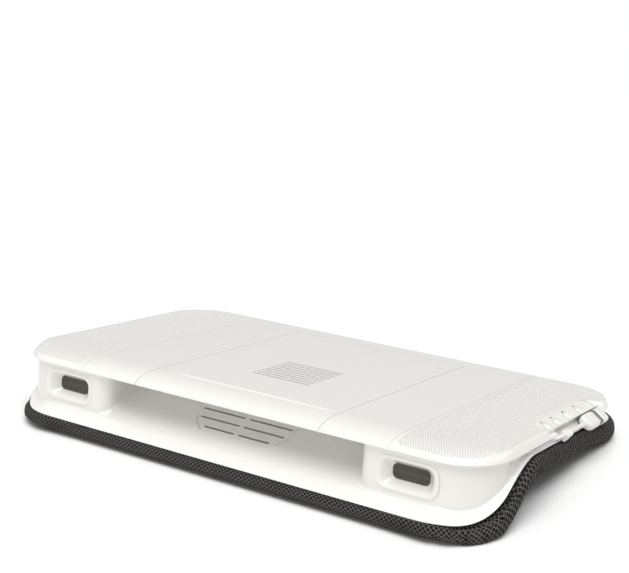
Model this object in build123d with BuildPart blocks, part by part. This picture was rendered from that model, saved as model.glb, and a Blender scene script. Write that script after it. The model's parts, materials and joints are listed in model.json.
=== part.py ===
from build123d import *
from math import atan2, cos, degrees, radians, sin
import os

# A lap desk that cools a laptop: a tilted deck with a speaker in each end, a fan under the middle,
# a flared lower casing and a soft cushion. Millimetres. The origin lies on the table in the middle of
# the cushion's rear foot, +Z is up, +Y points to the rear and +X to the user's right.
# Most pieces are drawn in the deck's own tilted frame: x across, y to the rear, z above the deck.

# ---- driving dimensions ----
DECK_TILT = 7.0
DECK_HEIGHT = 50.0        # middle of the deck above the table
DECK_X = 500.0
DECK_Y = 286.0
DECK_CORNER_R = 48.0
LIP = 8.5                 # depth of the deck's rim
DECK_WALL = 3.6
SKIN = 1.5                # depth of the seats for the grilles and the centre panel
WALL = 2.5                # casing wall
GAP = 0.2                 # assembly gap between pieces

TUB_X = 490.0             # lower casing, outside
TUB_REAR = 139.0
TUB_FRONT = -138.0
TUB_CORNER_R = 50.0

FLANGE_X = 502.0
FLANGE_REAR = 157.0
FLANGE_FRONT = -141.0
FLANGE_CORNER_R = 52.0
FLANGE_FRONT_Z = -14.0    # underside of the flange in the thin front half
FLANGE_REAR_Z = -54.5     # underside of the flange's rear edge
FOOT_MID_Z = -46.5        # underside of the flare at the rear wall, between the corners
FOOT_SIDE_Z = -50.5       # and at the sides
S_START = 57.0            # where the flange starts to drop, going to the rear
BLEND_X = 212.0           # half width over which the rear section stays constant

PANEL_X = 194.0           # centre panel
PANEL_FRONT = -118.0
GRILLE_IN = 162.0         # inner edge of each grille
GRILLE_RIM = 5.0          # plain rim left around the grille

RECESS_X = 266.0          # central recess in the rear wall
RECESS_Y = 99.0
APRON_TOP_Z = -24.5
APRON_FOOT = (125.0, -43.0)

TRAY_Z = -22.0            # underside of the base plate, front and rear levels
TRAY_REAR_Z = -49.0
TRAY_BEND = (62.0, 116.0)

CUSHION_X = 512.0
CUSHION_REAR = 161.0
CUSHION_FRONT = -146.0
CUSHION_CORNER_R = 56.0
CUSHION_FRONT_Z = -33.0
CUSHION_GAP = 0.5         # between the flange and the cushion under it
SOLE_START = 48.0         # where the underside starts to drop to the table
SOLE_MID_Y = 122.0        # where it meets the table, in the middle and at the sides
SOLE_SIDE_Y = 150.0

PORT_X = 179.0            # sound ports in the rear wall
PORT_Z = -28.0
PORT_W, PORT_H, PORT_R = 57.0, 28.0, 10.0
PORT_MESH_W, PORT_MESH_H, PORT_MESH_R = 34.0, 13.0, 5.0
PORT_DEPTH = 8.0

FAN_Y = 28.0
FAN_SIZE = 70.0
FAN_DEPTH = 12.0
FAN_BORE_R = 32.5
FAN_HUB_R = 13.0
FAN_BLADES = 7
BLADE_CHORD = 10.0
BLADE_PITCH = 35.0
FAN_TOP_Z = -5.0
SHAFT_R = 1.2

SPEAKER_X, SPEAKER_Y = 198.0, 88.0
SPEAKER_TOP_Z = -4.0
CONE_R = 20.0
SPEAKER_R = 29.0
OPENING_R = 23.0
SPEAKER_SCREW = 19.1      # half the spacing of each driver's screws
CONE_TRAVEL = 1.0

STRIP_MIDDLE = (-239.0, -34.0, -4.0)
STRIP_TILT = 20.0         # the control strip slopes outward
STRIP_W, STRIP_L, STRIP_R = 21.0, 112.0, 4.0
BUTTON_U = 0.8
# name: place along the strip, radius
BUTTONS = {"volume_up_button": (40.0, 4.6), "volume_down_button": (20.0, 4.6),
           "mute_button": (-6.0, 5.6), "fan_button": (-30.0, 4.6)}
LENS_U = 8.2
BUTTON_TRAVEL = 0.8
SWITCH_W = 10.0           # depth of the control board under the strip's face

PLUG_MIDDLE = (-252.0, -52.0, -8.0)
PLUG_TILT = 35.0
PLUG_W, PLUG_T, PLUG_L = 15.0, 8.0, 22.0
USB_W, USB_T, USB_L = 12.0, 4.5, 12.0
RELIEF_L = 9.0
PLUG_TRAVEL = 12.0
CABLE_R = 1.4

FOOT_MIDDLE_Y = 145.0     # middle of the rear foot, in the deck's frame

POSTS = [(x, y) for x in (-215.0, -95.0, 95.0, 215.0) for y in (-108.0, 44.0)]
SCREW_R = 1.5
SMALL_SCREW_R = 1.0
BOARD_MIDDLE = (120.0, -30.0)
BOARD_W, BOARD_L, BOARD_T = 60.0, 70.0, 1.6
BOARD_Z = -13.0           # underside of the amplifier board

# ---- frames ----
TILT = radians(DECK_TILT)
DECK_BACK = FOOT_MIDDLE_Y / cos(TILT) + DECK_HEIGHT * sin(TILT) / cos(TILT)
deck = Plane(origin=(0, -DECK_BACK, DECK_HEIGHT), x_dir=(1, 0, 0), z_dir=(0, -sin(TILT), cos(TILT)))
side = Plane(origin=deck.origin, x_dir=(0, cos(TILT), sin(TILT)), z_dir=(1, 0, 0))
DEEP = 90.0               # longer than the casing is deep


def table_z(y):
    """Height of the table in the deck's frame at y."""
    return -(DECK_HEIGHT + y * sin(TILT)) / cos(TILT)


def finish(builder, name):
    builder.part.label = name
    export_step(builder.part, f"parts/{name}.step")


os.makedirs("parts", exist_ok=True)


def deck_at(x, y, z):
    """The deck plane moved to a point given in the deck's frame."""
    return Plane(origin=deck.from_local_coords((x, y, z)), x_dir=deck.x_dir, z_dir=deck.z_dir)


def deck_tilted(middle, angle):
    """A plane at a point in the deck's frame, sloping down to the left."""
    c, s = cos(radians(angle)), sin(radians(angle))
    return Plane(origin=deck.from_local_coords(middle), x_dir=deck.x_dir * c + deck.z_dir * s,
                 z_dir=deck.z_dir * c - deck.x_dir * s)


def deck_turned(middle, angle):
    """The deck plane moved to a point and turned about its normal."""
    c, s = cos(radians(angle)), sin(radians(angle))
    return Plane(origin=deck.from_local_coords(middle), x_dir=deck.x_dir * c + deck.y_dir * s,
                 z_dir=deck.z_dir)


def outline(width, front, rear, radius, inset=0.0):
    """A rounded rectangle in plan, inset all round."""
    with Locations((0, (front + rear) / 2)):
        RectangleRounded(width - 2 * inset, rear - front - 2 * inset, radius - inset)


def prism(width, front, rear, radius, inset=0.0, bottom=-DEEP, top=10.0):
    """The outline extruded along the deck's normal."""
    with BuildPart() as made:
        with BuildSketch(deck.offset(bottom)):
            outline(width, front, rear, radius, inset)
        extrude(amount=top - bottom)
    return made.part


def under_deck(inset):
    """Everything below the deck's skin, which rolls down over its rear edge."""
    roll = 108.0
    rear = DECK_Y / 2 - inset
    front = -DECK_Y / 2 + inset
    with BuildPart() as made:
        with BuildSketch(side):
            with BuildLine():
                Line((front, -inset), (roll, -inset))
                Bezier((roll, -inset), (roll + 18, -inset), (rear - 2, -3 - inset), (rear, -9 - inset / 2))
                Polyline((rear, -9 - inset / 2), (rear, -DEEP), (front, -DEEP), (front, -inset))
            make_face()
        extrude(amount=DECK_X, both=True)
    return made.part


def wing(sign, inset, bottom=-DEEP, top=10.0):
    """Plan area of one speaker grille, as a prism."""
    inner = GRILLE_IN + inset
    outer = DECK_X / 2 - GRILLE_RIM - inset
    half = DECK_Y / 2 - GRILLE_RIM - inset
    corner = DECK_CORNER_R - GRILLE_RIM - inset
    with BuildPart() as made:
        with BuildSketch(deck.offset(bottom)):
            with BuildLine():
                Polyline((sign * (outer - corner), half), (sign * inner, half), (sign * inner, -half),
                         (sign * (outer - corner), -half))
                RadiusArc((sign * (outer - corner), -half), (sign * outer, corner - half), -sign * corner)
                Line((sign * outer, corner - half), (sign * outer, half - corner))
                RadiusArc((sign * outer, half - corner), (sign * (outer - corner), half), -sign * corner)
            make_face()
        extrude(amount=top - bottom)
    return made.part


# ---- layers with the casing's S-shaped side view ----

def s_line(start_y, start_z, foot_y, foot_z, end_y, end_z, front_y):
    """Level from the front, an S down to the foot, then straight to the rear edge."""
    rise = (foot_y - start_y) / 2.6
    slope = (end_z - foot_z) / (end_y - foot_y)
    Line((front_y, start_z), (start_y, start_z))
    Bezier((start_y, start_z), (start_y + rise, start_z),
           (foot_y - rise, foot_z - rise * slope), (foot_y, foot_z))
    Line((foot_y, foot_z), (end_y, end_z))


def layer(top_mid, bottom_mid, top_side, bottom_side):
    """A layer between two S lines. Each line is (start_y, start_z, foot_y, foot_z, end_z)."""
    front, rear = CUSHION_FRONT, CUSHION_REAR
    def section(offset, top, bottom):
        with BuildSketch(side.offset(offset)) as drawn:
            with BuildLine():
                for line in (top, bottom):
                    s_line(line[0], line[1], line[2], line[3], rear, line[4], front)
                Line((front, top[1]), (front, bottom[1]))
                Line((rear, top[4]), (rear, bottom[4]))
            make_face()
        return drawn.sketch

    with BuildPart() as made:
        add(extrude(section(-BLEND_X, top_mid, bottom_mid), amount=2 * BLEND_X, mode=Mode.PRIVATE))
        for sign in (-1, 1):
            mid = section(sign * BLEND_X, top_mid, bottom_mid)
            end = section(sign * CUSHION_X / 2, top_side, bottom_side)
            add(loft([mid.face(), end.face()], ruled=True, mode=Mode.PRIVATE))
    return made.part


def flange_line(foot_z, lift):
    """The flange's underside, lifted, and run on to the cushion's rear edge."""
    slope = (FLANGE_REAR_Z - foot_z) / (FLANGE_REAR - TUB_REAR)
    rear_z = foot_z + slope * (CUSHION_REAR - TUB_REAR)
    return (S_START, FLANGE_FRONT_Z + lift, TUB_REAR, foot_z + lift, rear_z + lift)


# ---- deck ----
skin_below = under_deck(SKIN)
deck_inside = under_deck(DECK_WALL)
left_wing = wing(-1, 0.0)
right_wing = wing(1, 0.0)

with BuildPart() as panel_area:
    with BuildSketch(deck.offset(-DEEP)):
        with Locations((0, (PANEL_FRONT + DECK_Y) / 2)):
            Rectangle(PANEL_X, DECK_Y - PANEL_FRONT)
    extrude(amount=DEEP + 10)

with BuildPart() as above_skin:
    add(prism(DECK_X, -DECK_Y / 2, DECK_Y / 2, DECK_CORNER_R, 0, -LIP + 1.0))
    add(skin_below, mode=Mode.SUBTRACT)

with BuildPart() as deck_hollow:
    add(prism(DECK_X, -DECK_Y / 2, DECK_Y / 2, DECK_CORNER_R, WALL))
    add(deck_inside, mode=Mode.INTERSECT)


strip = deck_tilted(STRIP_MIDDLE, STRIP_TILT)
plug = deck_tilted(PLUG_MIDDLE, PLUG_TILT)


def block(plane, width, length, low, high, radius=0.0, y=0.0):
    """A flat block on a plane, from one height to another."""
    with BuildPart() as made:
        with BuildSketch(plane.offset(low)):
            with Locations((0, y)):
                if radius:
                    RectangleRounded(width, length, radius)
                else:
                    Rectangle(width, length)
        extrude(amount=high - low)
    return made.part


def bore(plane, radius, low, high, x=0.0, y=0.0):
    """A round bar or hole along a plane's normal."""
    with BuildPart() as made:
        with BuildSketch(plane.offset(low)):
            with Locations((x, y)):
                Circle(radius)
        extrude(amount=high - low)
    return made.part


def corners(x, y, half_x, half_y):
    """The four corners of a rectangle."""
    return [(x + i * half_x, y + j * half_y) for i in (-1, 1) for j in (-1, 1)]


FAN_SCREWS = corners(0, FAN_Y, 30.5, 30.5)
SPEAKER_SCREWS = [place for x in (-SPEAKER_X, SPEAKER_X)
                  for place in corners(x, SPEAKER_Y, SPEAKER_SCREW, SPEAKER_SCREW)]
BOARD_POSTS = corners(*BOARD_MIDDLE, BOARD_W / 2 - 4, BOARD_L / 2 - 4)

BACKING_Z = -5.5          # underside of the deck where the strip sits on it
strip_space = block(strip, STRIP_W + 2 * GAP, STRIP_L + 2 * GAP, -SKIN, 20, STRIP_R)
strip_backing = block(strip, STRIP_W + 2, STRIP_L + 2, BACKING_Z, -SKIN, STRIP_R)
backing_space = block(strip, STRIP_W + 3, STRIP_L + 3, BACKING_Z - GAP, 20, STRIP_R)

# the cable leaves the casing's side, runs under the deck's lip to the clip, then on to the plug
CABLE_X, CABLE_Z = -247.9, -10.05
CABLE_START_Y = 66.0
CABLE_END_Y = PLUG_MIDDLE[1] + PLUG_L / 2 + RELIEF_L + PLUG_TRAVEL + 1.0
CABLE_IN_X = -232.0
BEND_Y = (22.0, 7.0)      # the cable leans out to the plug's line between these
with BuildLine(deck) as cable_path:
    FilletPolyline((CABLE_IN_X, CABLE_START_Y, CABLE_Z), (CABLE_X, CABLE_START_Y, CABLE_Z),
                   (CABLE_X, BEND_Y[0], CABLE_Z), radius=6)
    Spline((CABLE_X, BEND_Y[0], CABLE_Z), (PLUG_MIDDLE[0], BEND_Y[1], PLUG_MIDDLE[2]),
           tangents=[(0, -1, 0), (0, -1, 0)])
    Line((PLUG_MIDDLE[0], BEND_Y[1], PLUG_MIDDLE[2]), (PLUG_MIDDLE[0], CABLE_END_Y, PLUG_MIDDLE[2]))

cable_way = block(deck_at(CABLE_IN_X - 6.2, CABLE_START_Y - 1, CABLE_Z), 16, 8, -CABLE_R - 0.3, CABLE_R + 0.3)
cable_groove = block(deck_at(CABLE_X, 20, CABLE_Z), 4, 20, -CABLE_R - 0.5, CABLE_R)
plug_space = block(plug, PLUG_W + 1.5, 110, -PLUG_T / 2 - 0.7, 30, 0, 21)

with BuildPart() as deck_shell:
    with BuildSketch(deck.offset(-LIP)):
        outline(DECK_X, -DECK_Y / 2, DECK_Y / 2, DECK_CORNER_R)
    extrude(amount=LIP)
    add(under_deck(0.0), mode=Mode.INTERSECT)
    add(deck_hollow.part, mode=Mode.SUBTRACT)
    for seat in (left_wing, right_wing, panel_area.part):
        add(seat & above_skin.part, mode=Mode.SUBTRACT)
    # rings that the drivers are screwed to, and pads for the fan
    for x in (-SPEAKER_X, SPEAKER_X):
        add(bore(deck_at(x, SPEAKER_Y, 0), SPEAKER_R + 1, SPEAKER_TOP_Z + GAP, -DECK_WALL + 0.5))
    add(block(deck_at(0, FAN_Y, 0), FAN_SIZE, FAN_SIZE, FAN_TOP_Z + GAP, -DECK_WALL + 0.5, 6))
    # sound openings over the drivers and the air opening over the fan
    for x in (-SPEAKER_X, SPEAKER_X):
        add(bore(deck_at(x, SPEAKER_Y, 0), OPENING_R, -10, 5), mode=Mode.SUBTRACT)
    add(bore(deck_at(0, FAN_Y, 0), FAN_BORE_R, -10, 5), mode=Mode.SUBTRACT)
    # the control strip's sloped seat
    add(strip_backing & prism(DECK_X, -DECK_Y / 2, DECK_Y / 2, DECK_CORNER_R, 0.2))
    add(strip_space, mode=Mode.SUBTRACT)
    for v, radius in BUTTONS.values():
        add(bore(strip, radius + GAP, -3.7, 0, BUTTON_U, v), mode=Mode.SUBTRACT)
        add(bore(strip, 1.8, -10, 0, BUTTON_U, v), mode=Mode.SUBTRACT)
    add(plug_space, mode=Mode.SUBTRACT)
    add(cable_groove, mode=Mode.SUBTRACT)
    # posts for the screws that hold the base plate
    for x, y in POSTS:
        add(bore(deck_at(x, y, 0), 4.0, TRAY_Z + WALL + GAP, -DECK_WALL + 0.5))
        add(bore(deck_at(x, y, 0), SCREW_R + 0.05, -DEEP, -DECK_WALL - 2), mode=Mode.SUBTRACT)
    for x, y in SPEAKER_SCREWS + FAN_SCREWS:
        add(bore(deck_at(x, y, 0), SMALL_SCREW_R + 0.05, -10, -2.4), mode=Mode.SUBTRACT)
finish(deck_shell, "deck_shell")

with BuildPart() as centre_panel:
    with BuildSketch(deck.offset(-LIP + 1.2)):
        with Locations((0, (PANEL_FRONT + GAP + DECK_Y) / 2)):
            Rectangle(PANEL_X - 2 * GAP, DECK_Y - PANEL_FRONT - GAP)
    extrude(amount=LIP)
    add(above_skin.part, mode=Mode.INTERSECT)
    add(under_deck(0.0), mode=Mode.INTERSECT)
    # a low stop ridge in front of the rolled edge
    add(block(deck_at(-12, 111, 0), 168, 4, -1.0, 0.8, 1.9))
    # cooling slots over the fan
    with BuildSketch(deck.offset(-5)):
        with Locations((0, FAN_Y)):
            with GridLocations(0, 7.0, 1, 9):
                SlotOverall(62, 2.4)
    extrude(amount=10, mode=Mode.SUBTRACT)
finish(centre_panel, "centre_panel")

for sign, name in ((-1, "left_speaker_grille"), (1, "right_speaker_grille")):
    with BuildPart() as grille:
        add(wing(sign, GAP))
        add(above_skin.part, mode=Mode.INTERSECT)
        add(under_deck(0.0), mode=Mode.INTERSECT)
        if sign < 0:
            add(block(strip, STRIP_W + 4, STRIP_L + 4, -10, 20, STRIP_R), mode=Mode.SUBTRACT)
        # rows of sound holes over the driver
        with BuildSketch(deck_at(sign * SPEAKER_X, SPEAKER_Y, -5)):
            with PolarLocations(0, 1):
                Circle(1.2)
            for ring in range(1, 5):
                with PolarLocations(5.0 * ring, 6 * ring):
                    Circle(1.2)
        extrude(amount=10, mode=Mode.SUBTRACT)
    finish(grille, name)


# ---- lower casing ----

def below_tray(lift):
    """Everything below the base plate's underside, lifted."""
    with BuildPart() as made:
        with BuildSketch(side):
            with BuildLine():
                Polyline((-200, TRAY_Z + lift), (TRAY_BEND[0], TRAY_Z + lift),
                         (TRAY_BEND[1], TRAY_REAR_Z + lift), (200, TRAY_REAR_Z + lift),
                         (200, -DEEP), (-200, -DEEP), close=True)
            make_face()
        extrude(amount=DECK_X, both=True)
    return made.part


def recess(grow):
    """The space of the central recess above its apron, grown all round."""
    with BuildPart() as made:
        with BuildSketch(side.offset(-RECESS_X / 2 - grow)):
            with BuildLine():
                FilletPolyline((RECESS_Y, 20), (RECESS_Y, APRON_TOP_Z), APRON_FOOT,
                               (TUB_REAR, FOOT_MID_Z + WALL), (TUB_REAR + 12, FOOT_MID_Z + WALL - 1.2),
                               (TUB_REAR + 12, 20), radius=4, close=True)
            make_face()
            if grow:
                offset(amount=grow)
        extrude(amount=RECESS_X + 2 * grow)
    return made.part


slope = atan2(APRON_TOP_Z - APRON_FOOT[1], APRON_FOOT[0] - RECESS_Y)
apron_middle = ((RECESS_Y + APRON_FOOT[0]) / 2, (APRON_TOP_Z + APRON_FOOT[1]) / 2)
apron = Plane(origin=side.from_local_coords((*apron_middle, 0)), x_dir=(-1, 0, 0),
              z_dir=(0, sin(slope - TILT), cos(slope - TILT)))


def vent_block(grow, low, high):
    """The vent's outline, wider at the top, as a block on the apron."""
    with BuildPart() as made:
        with BuildSketch(apron.offset(low)):
            with BuildLine():
                FilletPolyline((-52 - grow, 14 + grow), (-46 - grow, -3), (-35 - grow, -14 - grow),
                               (35 + grow, -14 - grow), (46 + grow, -3), (52 + grow, 14 + grow),
                               radius=4, close=True)
            make_face()
        extrude(amount=high - low)
    return made.part


def port_plane(sign):
    """On the rear wall, looking out of the sound port."""
    return Plane(origin=deck.from_local_coords((sign * PORT_X, TUB_REAR, PORT_Z)),
                 x_dir=(-1, 0, 0), z_dir=deck.y_dir)


tub_outside = prism(TUB_X, TUB_FRONT, TUB_REAR, TUB_CORNER_R)
tub_inside = prism(TUB_X, TUB_FRONT, TUB_REAR, TUB_CORNER_R, WALL)
flange_area = prism(FLANGE_X, FLANGE_FRONT, FLANGE_REAR, FLANGE_CORNER_R)

with BuildPart() as cavity:
    add(tub_inside)
    add(recess(WALL), mode=Mode.SUBTRACT)

with BuildPart() as flange:
    add(layer(flange_line(FOOT_MID_Z, WALL), flange_line(FOOT_MID_Z, 0),
              flange_line(FOOT_SIDE_Z, WALL), flange_line(FOOT_SIDE_Z, 0)))
    add(flange_area, mode=Mode.INTERSECT)
    add(tub_inside, mode=Mode.SUBTRACT)

with BuildPart() as body_shell:
    add(tub_outside)
    add(under_deck(DECK_WALL + GAP), mode=Mode.INTERSECT)
    add(below_tray(0), mode=Mode.SUBTRACT)
    add(recess(0), mode=Mode.SUBTRACT)
    add(cavity.part, mode=Mode.SUBTRACT)
    add(flange.part)
    add(vent_block(GAP, -SKIN, 5), mode=Mode.SUBTRACT)
    add(vent_block(-2.5, -8, 5), mode=Mode.SUBTRACT)
    for sign in (-1, 1):
        add(block(port_plane(sign), PORT_W + 2 * GAP, PORT_H + 2 * GAP, -12, 5, PORT_R), mode=Mode.SUBTRACT)
    add(backing_space, mode=Mode.SUBTRACT)
    add(plug_space, mode=Mode.SUBTRACT)
    add(cable_way, mode=Mode.SUBTRACT)
finish(body_shell, "body_shell")

with BuildPart() as base_plate:
    add(prism(TUB_X, TUB_FRONT, TUB_REAR, TUB_CORNER_R, WALL + GAP))
    add(below_tray(WALL), mode=Mode.INTERSECT)
    add(below_tray(0), mode=Mode.SUBTRACT)
    add(block(deck_at(0, TUB_REAR, 0), RECESS_X + 2 * WALL + 2, 36, -DEEP, 0), mode=Mode.SUBTRACT)
    for x, y in BOARD_POSTS:
        add(bore(deck_at(x, y, 0), 3.0, TRAY_Z + WALL - 0.5, BOARD_Z))
        add(bore(deck_at(x, y, 0), SMALL_SCREW_R + 0.05, TRAY_Z + 1, 0), mode=Mode.SUBTRACT)
    for x, y in POSTS:
        add(bore(deck_at(x, y, 0), SCREW_R + 0.3, -DEEP, 0), mode=Mode.SUBTRACT)
        add(bore(deck_at(x, y, 0), 3.2, -DEEP, TRAY_Z + 1.0), mode=Mode.SUBTRACT)
finish(base_plate, "base_plate")

with BuildPart() as rear_vent_grille:
    add(vent_block(0, -SKIN, 0))
    with BuildSketch(apron.offset(-5)):
        for half_width, v in ((48, 9.0), (45, 0.0), (35, -9.0)):
            with GridLocations(half_width + 2, 0, 2, 1):
                with Locations((0, v)):
                    SlotOverall(half_width - 2, 2.2)
    extrude(amount=10, mode=Mode.SUBTRACT)
finish(rear_vent_grille, "rear_vent_grille")

for sign, hand in ((-1, "left"), (1, "right")):
    wall_face = port_plane(sign)
    with BuildPart() as bezel:
        add(block(wall_face, PORT_W, PORT_H, -PORT_DEPTH - 1.5, 0, PORT_R))
        with BuildSketch(wall_face):
            RectangleRounded(PORT_W - 3, PORT_H - 3, PORT_R - 1.5)
        with BuildSketch(wall_face.offset(-PORT_DEPTH)):
            RectangleRounded(PORT_MESH_W, PORT_MESH_H, PORT_MESH_R)
        loft(mode=Mode.SUBTRACT)
        add(block(wall_face, PORT_MESH_W, PORT_MESH_H, -12, -PORT_DEPTH + 0.1, PORT_MESH_R),
            mode=Mode.SUBTRACT)
    finish(bezel, f"{hand}_port_bezel")
    with BuildPart() as port_mesh:
        add(block(wall_face, PORT_MESH_W - GAP, PORT_MESH_H - GAP, -PORT_DEPTH - 1.6, -PORT_DEPTH,
                  PORT_MESH_R - GAP))
        add(block(wall_face, PORT_MESH_W + 6, PORT_MESH_H + 6, -PORT_DEPTH - 2.8, -PORT_DEPTH - 1.6,
                  PORT_MESH_R))
    finish(port_mesh, f"{hand}_port_mesh")

# the pocket in the cushion that the casing's tub sits in
with BuildPart() as pocket:
    add(prism(TUB_X, TUB_FRONT, TUB_REAR, TUB_CORNER_R, -0.8))
    add(below_tray(-0.6), mode=Mode.SUBTRACT)


def sole_line(foot_y):
    """The cushion's underside: clear of the table in front, on the table from foot_y to the rear."""
    return (SOLE_START, CUSHION_FRONT_Z, foot_y, table_z(foot_y), table_z(CUSHION_REAR))


with BuildPart() as seat_cushion:
    add(layer(flange_line(FOOT_MID_Z, -CUSHION_GAP), sole_line(SOLE_MID_Y),
              flange_line(FOOT_SIDE_Z, -CUSHION_GAP), sole_line(SOLE_SIDE_Y)))
    add(prism(CUSHION_X, CUSHION_FRONT, CUSHION_REAR, CUSHION_CORNER_R), mode=Mode.INTERSECT)
    add(pocket.part, mode=Mode.SUBTRACT)
    add(plug_space, mode=Mode.SUBTRACT)
finish(seat_cushion, "seat_cushion")


# ---- fan ----

def fan_at(z):
    return deck_at(0, FAN_Y, z)


FAN_BOTTOM_Z = FAN_TOP_Z - FAN_DEPTH
FAN_PLATE_T = 1.3
BEARING_R = 3.0

with BuildPart() as fan_frame:
    add(block(fan_at(0), FAN_SIZE, FAN_SIZE, FAN_BOTTOM_Z, FAN_TOP_Z, 6))
    add(bore(fan_at(0), FAN_BORE_R, FAN_BOTTOM_Z - 1, FAN_TOP_Z + 1), mode=Mode.SUBTRACT)
    add(bore(fan_at(0), FAN_HUB_R, FAN_BOTTOM_Z, FAN_BOTTOM_Z + FAN_PLATE_T))
    with BuildSketch(fan_at(FAN_BOTTOM_Z)):
        with PolarLocations((FAN_HUB_R + FAN_BORE_R) / 2, 4, start_angle=45):
            Rectangle(FAN_BORE_R - FAN_HUB_R + 2, 3)
    extrude(amount=FAN_PLATE_T)
    add(bore(fan_at(0), BEARING_R + 0.02, FAN_BOTTOM_Z - 1, FAN_TOP_Z), mode=Mode.SUBTRACT)
    for x, y in FAN_SCREWS:
        add(bore(deck_at(x, y, 0), SMALL_SCREW_R + 0.2, FAN_BOTTOM_Z - 1, FAN_TOP_Z + 1),
            mode=Mode.SUBTRACT)
finish(fan_frame, "fan_frame")

with BuildPart() as fan_bearing:
    add(bore(fan_at(0), BEARING_R, FAN_BOTTOM_Z, FAN_TOP_Z - 3.0))
    add(bore(fan_at(0), SHAFT_R + 0.05, FAN_BOTTOM_Z - 1, FAN_TOP_Z), mode=Mode.SUBTRACT)
finish(fan_bearing, "fan_bearing")

with BuildPart() as fan_stator:
    with BuildSketch(fan_at(FAN_BOTTOM_Z + FAN_PLATE_T)):
        Circle(BEARING_R + 2.2)
        with PolarLocations(6.5, 4):
            Rectangle(7, 3.4)
        with PolarLocations(9.4, 4):
            Rectangle(2.2, 9)
        Circle(BEARING_R + 0.02, mode=Mode.SUBTRACT)
    extrude(amount=6.5)
finish(fan_stator, "fan_stator")

with BuildPart() as fan_shaft:
    add(bore(fan_at(0), SHAFT_R, FAN_BOTTOM_Z + 0.3, FAN_TOP_Z - 0.8))
finish(fan_shaft, "fan_shaft")

with BuildPart() as fan_rotor:
    add(bore(fan_at(0), FAN_HUB_R, FAN_BOTTOM_Z + 2.4, FAN_TOP_Z - 0.6))
    add(bore(fan_at(0), FAN_HUB_R - 1.2, FAN_BOTTOM_Z + 2.0, FAN_TOP_Z - 2.0), mode=Mode.SUBTRACT)
    add(bore(fan_at(0), SHAFT_R + 0.01, FAN_BOTTOM_Z, FAN_TOP_Z), mode=Mode.SUBTRACT)
    for blade in range(FAN_BLADES):
        spoke = deck_turned((0, FAN_Y, FAN_TOP_Z - 4.4), 360 / FAN_BLADES * blade)
        root = Plane(origin=spoke.from_local_coords((FAN_HUB_R - 0.6, 0, 0)), x_dir=spoke.y_dir,
                     z_dir=spoke.x_dir)
        with BuildSketch(root):
            Rectangle(BLADE_CHORD, 1.2, rotation=BLADE_PITCH)
        extrude(amount=FAN_BORE_R - FAN_HUB_R - 0.9)
finish(fan_rotor, "fan_rotor")

with BuildPart() as fan_screws:
    for x, y in FAN_SCREWS:
        add(bore(deck_at(x, y, 0), SMALL_SCREW_R, FAN_BOTTOM_Z, -2.8))
        add(bore(deck_at(x, y, 0), 2.0, FAN_BOTTOM_Z - 1.4, FAN_BOTTOM_Z))
finish(fan_screws, "fan_screws")


# ---- speakers ----

def turned(plane, points):
    """A ring turned about a plane's normal, from points of radius and height."""
    upright = Plane(origin=plane.origin, x_dir=plane.x_dir, z_dir=-plane.y_dir)
    with BuildPart() as made:
        with BuildSketch(upright):
            with BuildLine():
                Polyline(*points, close=True)
            make_face()
        revolve(axis=Axis(plane.origin, plane.z_dir))
    return made.part


for sign, hand in ((-1, "left"), (1, "right")):
    driver = deck_at(sign * SPEAKER_X, SPEAKER_Y, SPEAKER_TOP_Z)
    with BuildPart() as basket:
        add(turned(driver, [(24.8, 0), (SPEAKER_R, 0), (SPEAKER_R, -1.2), (25.5, -1.2), (14, -9.5),
                            (14, -11), (7, -11), (7, -9.8), (12.5, -9.8), (24.8, -0.9)]))
        for i, j in corners(0, 0, SPEAKER_SCREW, SPEAKER_SCREW):
            add(bore(driver, SMALL_SCREW_R + 0.15, -3, 1, i, j), mode=Mode.SUBTRACT)
    finish(basket, f"{hand}_speaker_basket")
    with BuildPart() as magnet:
        add(turned(driver, [(0, -11.1), (4.4, -11.1), (4.4, -15.5), (6.6, -15.5), (6.6, -11.1),
                            (13, -11.1), (13, -17.5), (0, -17.5)]))
    finish(magnet, f"{hand}_speaker_magnet")
    with BuildPart() as surround:
        add(turned(driver, [(20.6, -0.9), (21.4, -0.3), (22.8, -0.1), (24.2, -0.3), (24.7, -0.8),
                            (24.0, -0.8), (22.8, -0.5), (21.5, -0.8), (21.2, -1.1), (20.6, -1.1)]))
    finish(surround, f"{hand}_speaker_surround")
    with BuildPart() as cone:
        add(turned(driver, [(CONE_R, -0.6), (CONE_R, -1.4), (5.9, -7.2), (5.9, -13), (5.1, -13),
                            (5.1, -6.0), (0, -3.6), (0, -2.8), (6.2, -5.4), (6.8, -6.2)]))
    finish(cone, f"{hand}_speaker_cone")

with BuildPart() as speaker_screws:
    for x, y in SPEAKER_SCREWS:
        add(bore(deck_at(x, y, SPEAKER_TOP_Z), SMALL_SCREW_R, -1.3, 1.2))
        add(bore(deck_at(x, y, SPEAKER_TOP_Z), 1.6, -2.4, -1.3))
finish(speaker_screws, "speaker_screws")


# ---- electronics and controls ----

with BuildPart() as amplifier_board:
    add(block(deck_at(*BOARD_MIDDLE, 0), BOARD_W, BOARD_L, BOARD_Z, BOARD_Z + BOARD_T))
    for x, y in BOARD_POSTS:
        add(bore(deck_at(x, y, 0), SMALL_SCREW_R + 0.2, -DEEP, 0), mode=Mode.SUBTRACT)
finish(amplifier_board, "amplifier_board")

with BuildPart() as amplifier_parts:
    top = deck_at(*BOARD_MIDDLE, BOARD_Z + BOARD_T)
    add(block(top, 12, 12, 0, 1.6, 0, 4))
    for x in (-20.0, 20.0):
        add(bore(top, 3.2, 0, 5.0, x, -14))
        add(bore(top, 3.2, 0, 5.0, x, -3))
    for x in (-17.0, 0.0, 17.0):
        add(block(deck_at(BOARD_MIDDLE[0] + x, BOARD_MIDDLE[1] + 22, BOARD_Z + BOARD_T), 12, 6, 0, 5.0))
finish(amplifier_parts, "amplifier_parts")

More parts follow.
